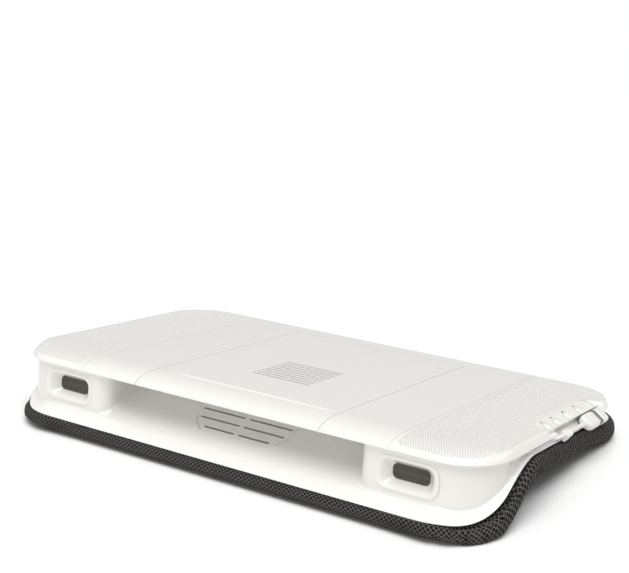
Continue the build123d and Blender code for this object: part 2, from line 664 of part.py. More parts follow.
with BuildPart() as board_screws:
    for x, y in BOARD_POSTS:
        add(bore(deck_at(x, y, 0), SMALL_SCREW_R, TRAY_Z + 2, BOARD_Z + BOARD_T))
        add(bore(deck_at(x, y, 0), 2.0, BOARD_Z + BOARD_T, BOARD_Z + BOARD_T + 1.3))
finish(board_screws, "board_screws")

with BuildPart() as housing_screws:
    for x, y in POSTS:
        add(bore(deck_at(x, y, 0), SCREW_R, TRAY_Z + 1.0, TRAY_Z + 12))
        add(bore(deck_at(x, y, 0), 2.8, TRAY_Z - 0.4, TRAY_Z + 1.0))
finish(housing_screws, "housing_screws")

with BuildPart() as control_board:
    add(block(strip, 9, 88, -SWITCH_W - 1.6, -SWITCH_W, 0, 8))
finish(control_board, "control_board")

with BuildPart() as key_switches:
    for v, radius in BUTTONS.values():
        with BuildSketch(strip.offset(-SWITCH_W)):
            with Locations((BUTTON_U, v)):
                Rectangle(5, 5)
        extrude(amount=1.0)
finish(key_switches, "key_switches")

with BuildPart() as control_strip:
    add(block(strip, STRIP_W, STRIP_L, -SKIN, 0, STRIP_R))
    for v, radius in BUTTONS.values():
        add(bore(strip, radius + GAP, -5, 5, BUTTON_U, v), mode=Mode.SUBTRACT)
        add(bore(strip, 0.9, -5, 5, LENS_U, v), mode=Mode.SUBTRACT)
    add(plug_space, mode=Mode.SUBTRACT)
finish(control_strip, "control_strip")

for name, (v, radius) in BUTTONS.items():
    with BuildPart() as button:
        add(bore(strip, radius, -2.6, 0.7, BUTTON_U, v))
        fillet(button.edges().filter_by(GeomType.CIRCLE).sort_by(Axis(strip.origin, strip.z_dir))[-1], 0.5)
        add(bore(strip, 1.5, -SWITCH_W + 2.1, -2.6, BUTTON_U, v))
    finish(button, name)

with BuildPart() as indicator_lenses:
    for v, radius in BUTTONS.values():
        add(bore(strip, 0.85, -SKIN, 0.1, LENS_U, v))
finish(indicator_lenses, "indicator_lenses")


# ---- cable and plug ----

def across_cable(point):
    """A plane square to the cable's last straight run."""
    return Plane(origin=point, x_dir=deck.x_dir, z_dir=deck.y_dir)


with BuildPart() as usb_cable:
    with BuildSketch(Plane(origin=cable_path.line @ 0, z_dir=cable_path.line % 0)):
        Circle(CABLE_R)
    sweep(path=cable_path.line)
finish(usb_cable, "usb_cable")

with BuildPart() as cable_clip:
    add(block(plug, 8, 13, -PLUG_T / 2 - 0.6, 2.8, 1.5, -PLUG_MIDDLE[1] - 1))
    with BuildSketch(across_cable(deck.from_local_coords((PLUG_MIDDLE[0], 9, PLUG_MIDDLE[2])))):
        Circle(CABLE_R + 0.1)
    extrude(amount=20, both=True, mode=Mode.SUBTRACT)
finish(cable_clip, "cable_clip")

tip = -PLUG_L / 2
with BuildPart() as usb_plug_body:
    add(block(plug, PLUG_W, PLUG_L, -PLUG_T / 2, PLUG_T / 2, 3.5))
    fillet(usb_plug_body.edges().group_by(Axis(plug.origin, plug.z_dir))[-1], 1.6)
    with BuildSketch(across_cable(plug.from_local_coords((0, -tip - 1, 0)))):
        Circle(3.0)
    with BuildSketch(across_cable(plug.from_local_coords((0, RELIEF_L - tip, 0)))):
        Circle(1.9)
    loft()
    add(block(plug, USB_W + 0.02, 8, -USB_T / 2 - 0.01, USB_T / 2 + 0.01, 0, tip + 4), mode=Mode.SUBTRACT)
finish(usb_plug_body, "usb_plug_body")

with BuildPart() as usb_plug_shell:
    middle = tip - USB_L + (USB_L + 7) / 2
    add(block(plug, USB_W, USB_L + 7, -USB_T / 2, USB_T / 2, 0, middle))
    add(block(plug, USB_W - 0.8, USB_L + 9, -USB_T / 2 + 0.4, USB_T / 2 - 0.4, 0, middle), mode=Mode.SUBTRACT)
finish(usb_plug_shell, "usb_plug_shell")

with BuildPart() as usb_plug_tongue:
    add(block(plug, USB_W - 1.0, USB_L + 5, -USB_T / 2 + 0.5, 0, 0, tip - USB_L + 1 + (USB_L + 5) / 2))
finish(usb_plug_tongue, "usb_plug_tongue")

with BuildPart() as plug_dock:
    add(block(plug, PLUG_W, 13, -PLUG_T / 2, PLUG_T / 2, 3, tip - 14))
    add(block(plug, USB_W + 0.6, 8, -USB_T / 2 - 0.3, USB_T / 2 + 0.3, 0, tip - 9.5), mode=Mode.SUBTRACT)
finish(plug_dock, "plug_dock")
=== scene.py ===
import json
from math import atan2, ceil, cos, hypot, pi, radians, sin, sqrt, tan

import bmesh
import bpy
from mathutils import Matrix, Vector
from mathutils.bvhtree import BVHTree


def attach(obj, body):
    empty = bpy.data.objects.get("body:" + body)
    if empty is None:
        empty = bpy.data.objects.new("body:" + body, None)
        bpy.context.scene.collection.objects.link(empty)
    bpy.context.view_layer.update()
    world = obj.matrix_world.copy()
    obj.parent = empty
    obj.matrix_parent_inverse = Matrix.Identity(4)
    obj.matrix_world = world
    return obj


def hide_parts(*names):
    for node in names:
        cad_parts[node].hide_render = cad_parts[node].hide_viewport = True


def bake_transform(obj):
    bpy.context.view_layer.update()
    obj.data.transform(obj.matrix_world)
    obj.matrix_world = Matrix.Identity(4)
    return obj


# A lap desk that cools a laptop: white gloss shells, perforated speaker ends, an air-mesh cushion.
# Shapes are worked out in millimetres in the deck's own tilted frame (x across, y to the rear,
# z above the deck) and put into the shared frame by place().

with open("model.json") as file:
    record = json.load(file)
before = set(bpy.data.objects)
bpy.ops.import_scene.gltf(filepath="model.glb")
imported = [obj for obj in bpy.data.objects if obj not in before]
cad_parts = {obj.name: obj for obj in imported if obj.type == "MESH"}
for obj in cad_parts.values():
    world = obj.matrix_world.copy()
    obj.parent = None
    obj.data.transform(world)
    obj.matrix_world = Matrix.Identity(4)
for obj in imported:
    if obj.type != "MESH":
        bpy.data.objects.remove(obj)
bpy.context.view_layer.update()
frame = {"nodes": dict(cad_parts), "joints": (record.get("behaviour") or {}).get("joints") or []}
NODES = frame["nodes"]
JOINTS = {joint["name"]: joint for joint in frame["joints"]}

# ---- the deck's frame, from the fan's joint, which sits at a known place in it ----
FAN_PLACE = (0.0, 28.0, -10.0)
X_DIR = Vector((1, 0, 0))
NORMAL = Vector(JOINTS["fan_spin"]["axis"])
Y_DIR = NORMAL.cross(X_DIR)
ORIGIN = (Vector(JOINTS["fan_spin"]["pos_m"]) - Y_DIR * FAN_PLACE[1] / 1000 - NORMAL * FAN_PLACE[2] / 1000)
TILT = atan2(Y_DIR.z, Y_DIR.y)

# ---- dimensions, mm ----
DECK = (250.0, -143.0, 143.0, 48.0)          # half width, front, rear, corner radius
WALL = (245.0, -138.0, 139.5, 46.0)          # casing wall
FLANGE = (250.0, -141.0, 157.0, 54.0)        # flared edge of the casing
CUSHION = (258.0, -153.0, 163.0, 57.0)
REAR_NARROW = {FLANGE: 8.0, CUSHION: 11.5}   # how much they draw in towards the rear on the user's right
NARROW_START, NARROW_OVER = 30.0, 90.0       # where that begins, and the length it takes

LIP_REAR, LIP_SIDE = 9.0, 7.2
ROLL_REAR, ROLL_SIDE = 34.0, 6.0             # how far in the deck's edge starts to roll down
GRILLE_IN = 162.0
GRILLE_RIM = 5.0
PANEL_HALF = 97.0
PANEL_FRONT = -118.0
SEAM, GROOVE = 0.25, 0.2                     # half of a seam between pieces, and of a pressed one

STRIP_FRONT, STRIP_REAR = -90.0, 22.0        # ends of the sloped control strip
STRIP_WIDTH = 22.0
STRIP_TILT = radians(20.0)
STRIP_FALL = STRIP_WIDTH * tan(STRIP_TILT)
# where the left grille's opening steps in to go round the strip
ROUND_STRIP_X = DECK[0] - STRIP_WIDTH - 3.0
ROUND_STRIP_FRONT, ROUND_STRIP_REAR = STRIP_FRONT - 4, STRIP_REAR + 5
STRIP_PLACE = (-239.0, -34.0, -4.0)
PLUG_PLACE = (-252.0, -52.0, -8.0)
PLUG_TILT = radians(35.0)

RECESS_HALF = 133.0
RECESS_BACK = 99.0
APRON_TOP = (99.0, -24.5)
APRON_FOOT = (126.0, -42.6)

FLANGE_FRONT_Z, FLANGE_DROP = -11.8, 41.3
S_FRONT, S_REAR = 57.0, 150.0
FLANGE_EDGE = 1.3

PORT_X, PORT_Z = 179.0, -28.3
PORT_W, PORT_H, PORT_R = 57.0, 28.0, 10.0


def place(x, y, z):
    """A point of the deck's frame, in mm, put into the shared frame, in metres."""
    return ORIGIN + (X_DIR * x + Y_DIR * y + NORMAL * z) / 1000


def in_deck(point):
    """A point of the shared frame, in metres, put back into the deck's frame, in mm."""
    away = point - ORIGIN
    return away.dot(X_DIR) * 1000, away.dot(Y_DIR) * 1000, away.dot(NORMAL) * 1000


def table_z(y):
    """The table's height in the deck's frame at y."""
    return -(ORIGIN.z * 1000 + y * sin(TILT)) / cos(TILT)


def smooth(t):
    t = min(max(t, 0.0), 1.0)
    return t * t * (3 - 2 * t)


def mix(a, b, t):
    return a + (b - a) * t


def bezier(points, t):
    """A point on a cubic curve given by four points."""
    a, b, c, d = points
    u = 1 - t
    weights = (u ** 3, 3 * u * u * t, 3 * u * t * t, t ** 3)
    return tuple(sum(w * p[k] for w, p in zip(weights, (a, b, c, d))) for k in range(len(a)))


# ---- outlines ----

def narrowing(shape, x, y):
    """How much less than its full half width the flange or the cushion is at a place."""
    if x <= 0:
        return 0.0
    return REAR_NARROW.get(shape, 0.0) * smooth((y - NARROW_START) / NARROW_OVER)


def outside(shape, x, y):
    """Signed distance from a rounded rectangle, positive outside."""
    half, front, rear, radius = shape
    half -= narrowing(shape, x, y)
    qx = abs(x) - (half - radius)
    qy = abs(y - (front + rear) / 2) - ((rear - front) / 2 - radius)
    return hypot(max(qx, 0), max(qy, 0)) + min(max(qx, qy), 0) - radius


def outline(shape, step=7.0, arc_steps=22):
    """Points round a rounded rectangle with their outward normals, starting in the middle of the rear."""
    half, front, rear, radius = shape
    points = []

    def line(x0, y0, x1, y1, nx, ny):
        count = max(1, ceil(hypot(x1 - x0, y1 - y0) / step))
        for i in range(count):
            t = i / count
            points.append((mix(x0, x1, t), mix(y0, y1, t), nx, ny))

    def arc(cx, cy, start):
        for i in range(arc_steps):
            a = start - pi / 2 * i / arc_steps
            points.append((cx + radius * cos(a), cy + radius * sin(a), cos(a), sin(a)))

    inner_x = half - radius
    line(0, rear, inner_x, rear, 0, 1)
    arc(inner_x, rear - radius, pi / 2)
    line(half, rear - radius, half, front + radius, 1, 0)
    arc(inner_x, front + radius, 0)
    line(inner_x, front, -inner_x, front, 0, -1)
    arc(-inner_x, front + radius, -pi / 2)
    line(-half, front + radius, -half, rear - radius, -1, 0)
    arc(-inner_x, rear - radius, pi)
    line(-inner_x, rear, 0, rear, 0, 1)
    return [(x * (1 - narrowing(shape, x, y) / half), y, nx, ny) for x, y, nx, ny in points]


def reach(shape, x, y, nx, ny):
    """How far to go from a point along a direction to meet another rounded rectangle."""
    t = 0.0
    for _ in range(40):
        t -= 0.8 * outside(shape, x + nx * t, y + ny * t)
    return t


# ---- heights ----

def flange_z(y):
    """The flange's top edge: level in front, an S down to the rear."""
    return FLANGE_FRONT_Z - FLANGE_DROP * smooth((min(y, FLANGE[2]) - S_FRONT) / (S_REAR - S_FRONT))


def strip_share(x, y):
    """1 on the sloped control strip at the left edge, 0 away from it."""
    if x > -200:
        return 0.0
    return smooth((y - STRIP_FRONT + 6) / 10) * smooth((STRIP_REAR + 6 - y) / 10)


def roll_curve(x, y, ny):
    """The deck's edge as a curve of (distance in, height), for an outline point with normal y ny."""
    rear = smooth(max(ny, 0.0))
    width = mix(ROLL_SIDE, ROLL_REAR, rear)
    lip = mix(LIP_SIDE, LIP_REAR, rear)
    rolled = [(width, 0.0), (width * 0.49, 0.0), (width * 0.057, -lip / 3), (0.0, -lip)]
    share = strip_share(x, y)
    slope = [(STRIP_WIDTH * k / 3, -STRIP_FALL * (3 - k) / 3) for k in (3, 2, 1, 0)]
    return [(mix(a[0], b[0], share), mix(a[1], b[1], share)) for a, b in zip(rolled, slope)]


def edge_height(curve, inside):
    """Height of the deck's edge curve at a distance in from the outline."""
    if inside >= curve[0][0]:
        return 0.0
    low, high = 0.0, 1.0
    for _ in range(30):
        middle = (low + high) / 2
        if bezier(curve, middle)[0] > inside:
            low = middle
        else:
            high = middle
    return bezier(curve, low)[1]


def deck_height(x, y):
    """Height of the deck's top anywhere on it."""
    half, front, rear, radius = DECK
    cx, cy = half - radius, rear - radius
    if abs(x) > cx and y > cy:
        away = hypot(abs(x) - cx, y - cy)
        return edge_height(roll_curve(x, y, (y - cy) / max(away, 1e-6)), radius - away)
    if abs(x) > cx and y < front + radius:
        away = hypot(abs(x) - cx, y - front - radius)
        return edge_height(roll_curve(x, y, -1.0), radius - away)
    return min(edge_height(roll_curve(x, y, 1.0), rear - y),
               edge_height(roll_curve(x, y, 0.0), half - abs(x)),
               edge_height(roll_curve(x, y, -1.0), y - front))


# ---- mesh helpers ----

def shade(obj, angle=35.0):
    """Smooth shading, with sharp edges where the surface turns more than angle."""
    mesh = obj.data
    for polygon in mesh.polygons:
        polygon.use_smooth = True
    mesh.set_sharp_from_angle(angle=radians(angle))
    modifier = obj.modifiers.new("normals", "WEIGHTED_NORMAL")
    modifier.keep_sharp = True
    apply_modifiers(obj)


def strip_faces(rings, count, closed=False):
    """Quads between rings of count points; closed joins the last ring to the first."""
    faces = []
    for i in range(rings if closed else rings - 1):
        here, ahead = i * count, (i + 1) % rings * count
        for j in range(count):
            k = (j + 1) % count
            faces.append((here + j, here + k, ahead + k, ahead + j))
    return faces


def capped(name, verts, count):
    """A closed body through rings of count points, with its two ends filled."""
    total = len(verts)
    faces = strip_faces(total // count, count)
    faces += [tuple(range(count)), tuple(range(total - 1, total - count - 1, -1))]
    return raw_object(name, verts, faces)


def linked(name, data):
    """A new object in the scene."""
    obj = bpy.data.objects.new(name, data)
    bpy.context.scene.collection.objects.link(obj)
    return obj


def apply_modifiers(obj):
    """Bakes the modifiers into the mesh."""
    graph = bpy.context.evaluated_depsgraph_get()
    mesh = bpy.data.meshes.new_from_object(obj.evaluated_get(graph))
    obj.modifiers.clear()
    obj.data = mesh


def rounded_loop(width, height, radius, steps=8):
    """Points round a rounded rectangle centred on zero, anticlockwise."""
    radius = min(radius, width / 2 - 1e-3, height / 2 - 1e-3)
    points = []
    for cx, cy, start in ((1, 1, 0), (-1, 1, 90), (-1, -1, 180), (1, -1, 270)):
        for i in range(steps + 1):
            a = radians(start + 90 * i / steps)
            points.append((cx * (width / 2 - radius) + radius * cos(a),
                           cy * (height / 2 - radius) + radius * sin(a)))
    return points


def rounded(corners, steps=8):
    """Points round a polygon given as (x, y, radius) corners, each corner turned into an arc."""
    points = []
    count = len(corners)
    for i, (x, y, radius) in enumerate(corners):
        here = Vector((x, y))
        before = (Vector(corners[i - 1][:2]) - here).normalized()
        after = (Vector(corners[(i + 1) % count][:2]) - here).normalized()
        half = before.angle(after) / 2
        if radius < 0.05 or half > pi / 2 - 0.02:
            points.append((x, y))
            continue
        centre = here + (before + after).normalized() * (radius / sin(half))
        first = (here + before * (radius / tan(half)) - centre).normalized()
        last = (here + after * (radius / tan(half)) - centre).normalized()
        for k in range(steps + 1):
            arm = first.slerp(last, k / steps) * radius
            points.append((centre.x + arm.x, centre.y + arm.y))
    return points


def prism(name, points, low, high, spot=lambda u, v, w: (u, v, w)):
    """A closed block over a polygon; spot() turns its own coordinates into the deck's frame."""
    count = len(points)
    verts = [spot(u, v, low) for u, v in points] + [spot(u, v, high) for u, v in points]
    faces = [tuple(range(count)), tuple(range(2 * count - 1, count - 1, -1))]
    faces += [(i, (i + 1) % count, count + (i + 1) % count, count + i) for i in range(count)]
    return raw_object(name, verts, faces)


def raw_object(name, verts, faces):
    """A bare mesh object used to build others."""
    mesh = bpy.data.meshes.new(name)
    mesh.from_pydata([place(*v) for v in verts], [], faces)
    obj = linked(name, mesh)
    work = bmesh.new()
    work.from_mesh(mesh)
    bmesh.ops.remove_doubles(work, verts=work.verts, dist=1e-6)
    bmesh.ops.recalc_face_normals(work, faces=work.faces)
    work.to_mesh(mesh)
    work.free()
    return obj


def combine(obj, tools, operation="DIFFERENCE"):
    """Boolean of one object with others, which are then deleted."""
    for tool in tools:
        modifier = obj.modifiers.new("cut", "BOOLEAN")
        modifier.operation = operation
        modifier.solver = "EXACT"
        modifier.object = tool
        apply_modifiers(obj)
    for tool in tools:
        if tool.name in bpy.data.objects:
            bpy.data.objects.remove(tool)


def bevel(obj, width, segments=2, angle=40.0):
    """Rounds the sharp edges, width in mm."""
    modifier = obj.modifiers.new("bevel", "BEVEL")
    modifier.width = width / 1000
    modifier.segments = segments
    modifier.limit_method = "ANGLE"
    modifier.angle_limit = radians(angle)
    modifier.use_clamp_overlap = True
    apply_modifiers(obj)


def finish_piece(obj, slot, body="housing", angle=35.0, cad=()):
    """Gives a built piece its finish and its body, and hides the CAD nodes it stands for."""
    obj.data.materials.clear()
    obj.data.materials.append(FINISHES[slot])
    for polygon in obj.data.polygons:
        polygon.material_index = 0
    shade(obj, angle)
    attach(obj, body)
    if cad:
        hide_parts(*cad)
    return obj


def joined(name, parts):
    """Several mesh objects as one."""
    work = bmesh.new()
    for part in parts:
        work.from_mesh(part.data)
    mesh = bpy.data.meshes.new(name)
    work.to_mesh(mesh)
    work.free()
    for part in parts:
        bpy.data.objects.remove(part)
    return linked(name, mesh)


# ---- places on the left edge ----

STRIP_PLATE = (20.6, 111.6, 4.0)             # width, length, corner radius


def tilted(origin, angle):
    """A function from (across, along, out) on a plane sloping down to the left to the deck's frame."""
    def spot(u, v, w):
        across = u * cos(angle) - w * sin(angle)
        rise = u * sin(angle) + w * cos(angle)
        return (origin[0] + across, origin[1] + v, origin[2] + rise)
    return spot


on_strip = tilted(STRIP_PLACE, STRIP_TILT)
on_plug = tilted(PLUG_PLACE, PLUG_TILT)


def plug_space():
    """The channel in the left edge that the plug, its dock and the clip sit in."""
    half, low, front, rear = 8.25, -4.7, -34.0, 60.0
    loop = [(-half - 6, front), (half, front), (half, rear), (-half - 6, rear)]
    return prism("plug_space", loop, low, 30, on_plug)


# ---- the deck ----

DECK_SKIN = 1.8
THROUGH = (-40, 20)                          # heights of a cut right through the deck
LIP_RETURN = 8.0
FAN_SLOTS, FAN_SLOT_PITCH, FAN_SLOT_LENGTH, FAN_SLOT_WIDTH = 9, 7.0, 62.0, 2.4


def deck_solid():
    """The deck's top as a closed shell: rings from the middle out to the edge, under it and back in."""
    edge = outline(DECK)
    curves = [roll_curve(x, y, ny) for x, y, nx, ny in edge]
    steps = 16
    rows = [[bezier(curve, k / steps) for curve in curves] for k in range(steps + 1)]
    for inside, drop in ((0.15, 0.35), (0.6, 0.2), (LIP_RETURN, 0.0)):
        rows.append([(inside, low - drop) for _, low in rows[-1]])
    for depth in (LIP_RETURN + 0.5, LIP_RETURN + 8, LIP_RETURN + 20, LIP_RETURN + 28):
        rows.append([(depth, edge_height(curve, depth) - DECK_SKIN) for curve in curves])
    verts = [(x - nx * inside, y - ny * inside, z)
             for row in rows for (x, y, nx, ny), (inside, z) in zip(edge, row)]
    return capped("deck_solid", verts, len(edge))


def grille_corners(sign):
    """The opening for a speaker grille; the left one goes round the control strip."""
    far = DECK[0] - GRILLE_RIM
    near = GRILLE_IN + GRILLE_RIM
    front, rear = DECK[1] + GRILLE_RIM, DECK[2] - GRILLE_RIM
    big, small = DECK[3] - GRILLE_RIM, 3.0
    corners = [(near, front, small), (far, front, big - 4)]
    if sign < 0:
        low, high = ROUND_STRIP_FRONT, ROUND_STRIP_REAR
        corners += [(far, low, 2.0), (ROUND_STRIP_X, low, 4.0), (ROUND_STRIP_X, high, 4.0), (far, high, 2.0)]
    corners += [(far, rear, big), (near, rear, small)]
    return [(sign * x, y, radius) for x, y, radius in corners]


def build_deck():
    """The top shell with its seams and grille openings, and the centre panel with its slots."""
    solid = deck_solid()
    panel = linked("centre_panel_skin", solid.data.copy())
    inner = PANEL_HALF - SEAM
    keep = [(-inner, PANEL_FRONT + SEAM), (inner, PANEL_FRONT + SEAM), (inner, 200), (-inner, 200)]
    combine(panel, [prism("keep", keep, *THROUGH)], "INTERSECT")
    slots = []
    for i in range(FAN_SLOTS):
        y = FAN_PLACE[1] + (i - (FAN_SLOTS - 1) / 2) * FAN_SLOT_PITCH
        loop = [(u, v + y) for u, v in rounded_loop(FAN_SLOT_LENGTH, FAN_SLOT_WIDTH, FAN_SLOT_WIDTH / 2)]
        slots.append(prism("slot", loop, -5, 5))
    combine(panel, slots)
    combine(panel, [ridge_piece()], "UNION")
    finish_piece(panel, "white_shell", "housing", 30, ("centre_panel",))

    outer = PANEL_HALF + SEAM
    gap = [(-outer, PANEL_FRONT - SEAM), (outer, PANEL_FRONT - SEAM), (outer, 200), (-outer, 200)]
    tools = [prism("gap", gap, *THROUGH)]
    for sign in (-1, 1):
        tools.append(prism("opening", rounded(grille_corners(sign), 14), *THROUGH))
        tools.append(groove_tool(sign * (GRILLE_IN - GROOVE), sign * (GRILLE_IN + GROOVE)))
    seat = rounded_loop(STRIP_PLATE[0] + 0.4, STRIP_PLATE[1] + 0.4, STRIP_PLATE[2])
    tools.append(prism("strip_seat", seat, -3.0, 12, on_strip))
    tools.append(plug_space())
    combine(solid, tools)
    solid.name = "deck_shell_skin"
    finish_piece(solid, "white_shell", "housing", 30, ("deck_shell",))


def groove_tool(x0, x1):
    """A thin upright blade that follows the deck's surface, to press a fine seam into it."""
    ys = [mix(DECK[1] + 1, DECK[2] - 0.4, (i / 60) ** 0.6) for i in range(61)]
    verts = []
    for y in ys:
        z = deck_height((x0 + x1) / 2, y)
        verts += [(x0, y, z - 0.5), (x1, y, z - 0.5), (x1, y, z + 3), (x0, y, z + 3)]
    return capped("groove", verts, 4)


def ridge_piece():
    """The low tapered ridge that stops the laptop from sliding back."""
    x_left, x_right, y_mid, half_width, height = -94.0, 75.0, 109.5, 3.2, 1.1
    section = ((-1, -0.8), (-1, 0.0), (-0.55, 0.62), (0, 0.9), (0.55, 0.75), (1, 0.1), (1, -0.8))
    verts = []
    steps = 60
    for i in range(steps + 1):
        t = i / steps
        grow = sqrt(max(1 - abs(2 * t - 1) ** 6, 0.0)) + 0.02
        x = mix(x_left, x_right, t)
        for u, v in section:
            verts.append((x, y_mid + u * half_width * (0.4 + 0.6 * grow), v * height * grow))
    return capped("ridge", verts, len(section))


# ---- the perforated speaker grilles ----

MESH_PITCH, MESH_HOLE, MESH_SINK, MESH_DEPTH = 2.3, 0.55, 0.4, 0.8
MESH_UNDER = 3.4                             # how far the sheet runs on under the rim around it


def grille_margin(sign, x, y):
    """How far a point is inside a grille's opening."""
    margins = [-outside(DECK, x, y) - GRILLE_RIM, sign * x - GRILLE_IN - GRILLE_RIM]
    if sign < 0:
        margins.append(max(ROUND_STRIP_X - abs(x), ROUND_STRIP_FRONT - y, y - ROUND_STRIP_REAR))
    return min(margins)


def build_grille(sign):
    """A sheet of hexagonal cells, each with a round hole; it lies just below the rim around it."""
    verts, faces, corner_index = [], [], {}

    def surface(x, y, drop):
        return (x, y, deck_height(x, y) - MESH_SINK - drop)

    def corner(x, y):
        key = (round(x * 20), round(y * 20))
        if key not in corner_index:
            corner_index[key] = len(verts)
            verts.append(surface(x, y, 0))
        return corner_index[key]

    radius = MESH_PITCH / sqrt(3)
    for row in range(int(300 / (MESH_PITCH * sqrt(3) / 2))):
        y = -148 + row * MESH_PITCH * sqrt(3) / 2
        for column in range(int(90 / MESH_PITCH)):
            x = sign * (GRILLE_IN + 2 + (column + row % 2 / 2) * MESH_PITCH)
            if grille_margin(sign, x, y) < -MESH_UNDER:
                continue
            arms = [(sin(pi / 3 * k), cos(pi / 3 * k)) for k in range(6)]
            around = [corner(x + radius * a, y + radius * b) for a, b in arms]
            start = len(verts)
            for drop in (0, MESH_DEPTH):
                verts.extend(surface(x + MESH_HOLE * a, y + MESH_HOLE * b, drop) for a, b in arms)
            for k in range(6):
                n = (k + 1) % 6
                faces.append((around[k], around[n], start + n, start + k))
                faces.append((start + k, start + n, start + 6 + n, start + 6 + k))
    side = "right" if sign > 0 else "left"
    obj = raw_object(side + "_grille_mesh", verts, faces)
    finish_piece(obj, "grille_white", "housing", 50, (side + "_speaker_grille",))


# ---- the casing ----

WALL_T = 2.0
RECESS_CORNER = 14.0
RECESS_FILLET, WALL_FILLET = 7.0, 2.6         # round the foot of the wall


def in_recess(x, y):
    return abs(x) <= RECESS_HALF + RECESS_CORNER + 0.1 and y > 0


def ground(x, y, nx, ny):
    """Height of the skirt or the apron at the foot of the casing's wall."""
    if in_recess(x, y):
        return apron_z(y)
    away = reach(FLANGE, x, y, nx, ny)
    return flange_z(y + ny * away) + skirt_rise(away)


def skirt_rise(away):
    """How far the skirt climbs from the flange's edge to a wall that is away mm from it."""
    share = min(away / (FLANGE[2] - WALL[2]), 1.0)
    return (apron_z(WALL[2]) - flange_z(FLANGE[2])) * share


def apron_z(y):
    """The apron: the skirt's gentle slope bending up to the steep one that carries the vent."""
    fall = (APRON_TOP[1] - APRON_FOOT[1]) / (APRON_FOOT[0] - APRON_TOP[0])
    steep = APRON_FOOT[1] + (APRON_FOOT[0] - y) * fall
    far_edge = flange_z(FLANGE[2])
    gentle = far_edge + (FLANGE[2] - y) * (APRON_FOOT[1] - far_edge) / (FLANGE[2] - APRON_FOOT[0])
    return (steep + gentle + sqrt((steep - gentle) ** 2 + 6.0)) / 2


def wall_path():
    """The wall's plan, clockwise from the recess: points with the normals that look outward."""
    straight = WALL[0] - WALL[3] - 1e-6
    around = [p for p in outline(WALL) if p[1] <= WALL[2] - 1e-6 or abs(p[0]) >= straight]
    corner_x = RECESS_HALF + RECESS_CORNER
    pod = [mix(corner_x, WALL[0] - WALL[3], i / 12) for i in range(12)]
    right = [(x, WALL[2], 0.0, 1.0) for x in pod]
    turn = []
    for i in range(9):
        a = pi - pi / 2 * i / 8
        x, y = corner_x + RECESS_CORNER * cos(a), WALL[2] - RECESS_CORNER + RECESS_CORNER * sin(a)
        turn.append((x, y, cos(a), sin(a)))
    side = [(RECESS_HALF, mix(RECESS_BACK, WALL[2] - RECESS_CORNER, i / 8), -1.0, 0.0) for i in range(8)]
    half = side + turn + right[1:]
    mirrored = [(-x, y, -nx, ny) for x, y, nx, ny in reversed(half)]
    return half + around + mirrored


def build_casing():
    """The lower casing: wall with port pods, skirt, flange and the recess's apron, as closed shells."""
    wall, skirt = wall_piece(), skirt_piece()
    for part in (wall, skirt):
        combine(part, [plug_space()])
    casing = joined("casing", [wall, skirt, *apron_pieces()])
    finish_piece(casing, "white_shell", "housing", 40, ("body_shell",))


def wall_piece():
    """The upright wall, rounded into what it stands on, with an opening for each port."""
    path = wall_path()
    verts = []
    for x, y, nx, ny in path:
        foot = ground(x, y, nx, ny)
        if in_recess(x, y):
            radius = mix(RECESS_FILLET, WALL_FILLET, ny)
        else:
            radius = min(WALL_FILLET, 0.5 * reach(FLANGE, x, y, nx, ny))
        top = -2.5 if y > 0 else -3.0
        top = min(top, deck_height(x, y) - DECK_SKIN - 0.3) if abs(x) < WALL[0] else top
        rows = [(0.0, top), (0.0, (top + foot + radius) / 2), (0.0, foot + radius)]
        for k in range(1, 6):
            a = pi / 2 * k / 5
            out = radius * (1 - cos(a))
            fall = apron_z(y) - apron_z(y + ny * out) if in_recess(x, y) else skirt_rise(out) * 0.8
            rows.append((out, foot + radius * (1 - sin(a)) - fall))
        rows += [(radius, foot - 2.0), (-WALL_T, foot - 1.0), (-WALL_T, top)]
        verts += [(x + nx * out, y + ny * out, z) for out, z in rows]
    wall = capped("wall", verts, len(rows))
    holes = []
    for sign in (-1, 1):
        loop = [(sign * PORT_X + u, PORT_Z + v) for u, v in rounded_loop(PORT_W - 2.4, PORT_H - 2.4, PORT_R)]
        holes.append(prism("hole", loop, WALL[2] - 6, WALL[2] + 6, lambda u, v, w: (u, w, v)))
    combine(wall, holes)
    return wall


def skirt_piece():
    """The skirt that flares out from the wall's foot to the flange's edge and turns under it."""
    verts = []
    around = outline(WALL)
    for x, y, nx, ny in around:
        away = reach(FLANGE, x, y, nx, ny)
        z = flange_z(y + ny * away)
        foot = z + skirt_rise(away)
        rows = [(away, z - 0.35), (away - 0.35, z)]
        rows += [(away * share, mix(foot, z, share)) for share in (0.66, 0.33)]
        rows += [(-1.2, foot + 0.2), (-1.2, foot - 1.6), (away - 2.5, z - FLANGE_EDGE - 0.6),
                 (away - 0.5, z - FLANGE_EDGE), (away, z - FLANGE_EDGE + 0.35)]
        verts += [(x + nx * out, y + ny * out, h) for out, h in rows]
    return raw_object("skirt", verts, strip_faces(len(around), len(rows), True))


def apron_pieces():
    """The recess's sloped apron, with the seat for the vent, and its upright back."""
    ys = [RECESS_BACK - 1] + [mix(RECESS_BACK, WALL[2], i / 26) for i in range(27)]
    top = [(y, apron_z(y)) for y in ys]
    profile = top + [(y, z - 1.6) for y, z in reversed(top)]
    half = RECESS_HALF + 1.2
    apron = prism("apron", profile, -half, half, lambda u, v, w: (w, u, v))
    opening = prism("vent_hole", vent_outline(-2.0), -8, 8, on_apron)
    recess_seat = prism("vent_seat", vent_outline(0.35), -1.0, 8, on_apron)
    combine(apron, [opening, recess_seat])
    back_top, back_low = -2.5, APRON_TOP[1] - 1.5
    section = [(RECESS_BACK - 2, back_low), (RECESS_BACK, back_low), (RECESS_BACK, back_top),
               (RECESS_BACK - 2, back_top)]
    return apron, prism("back", section, -half, half, lambda u, v, w: (w, u, v))


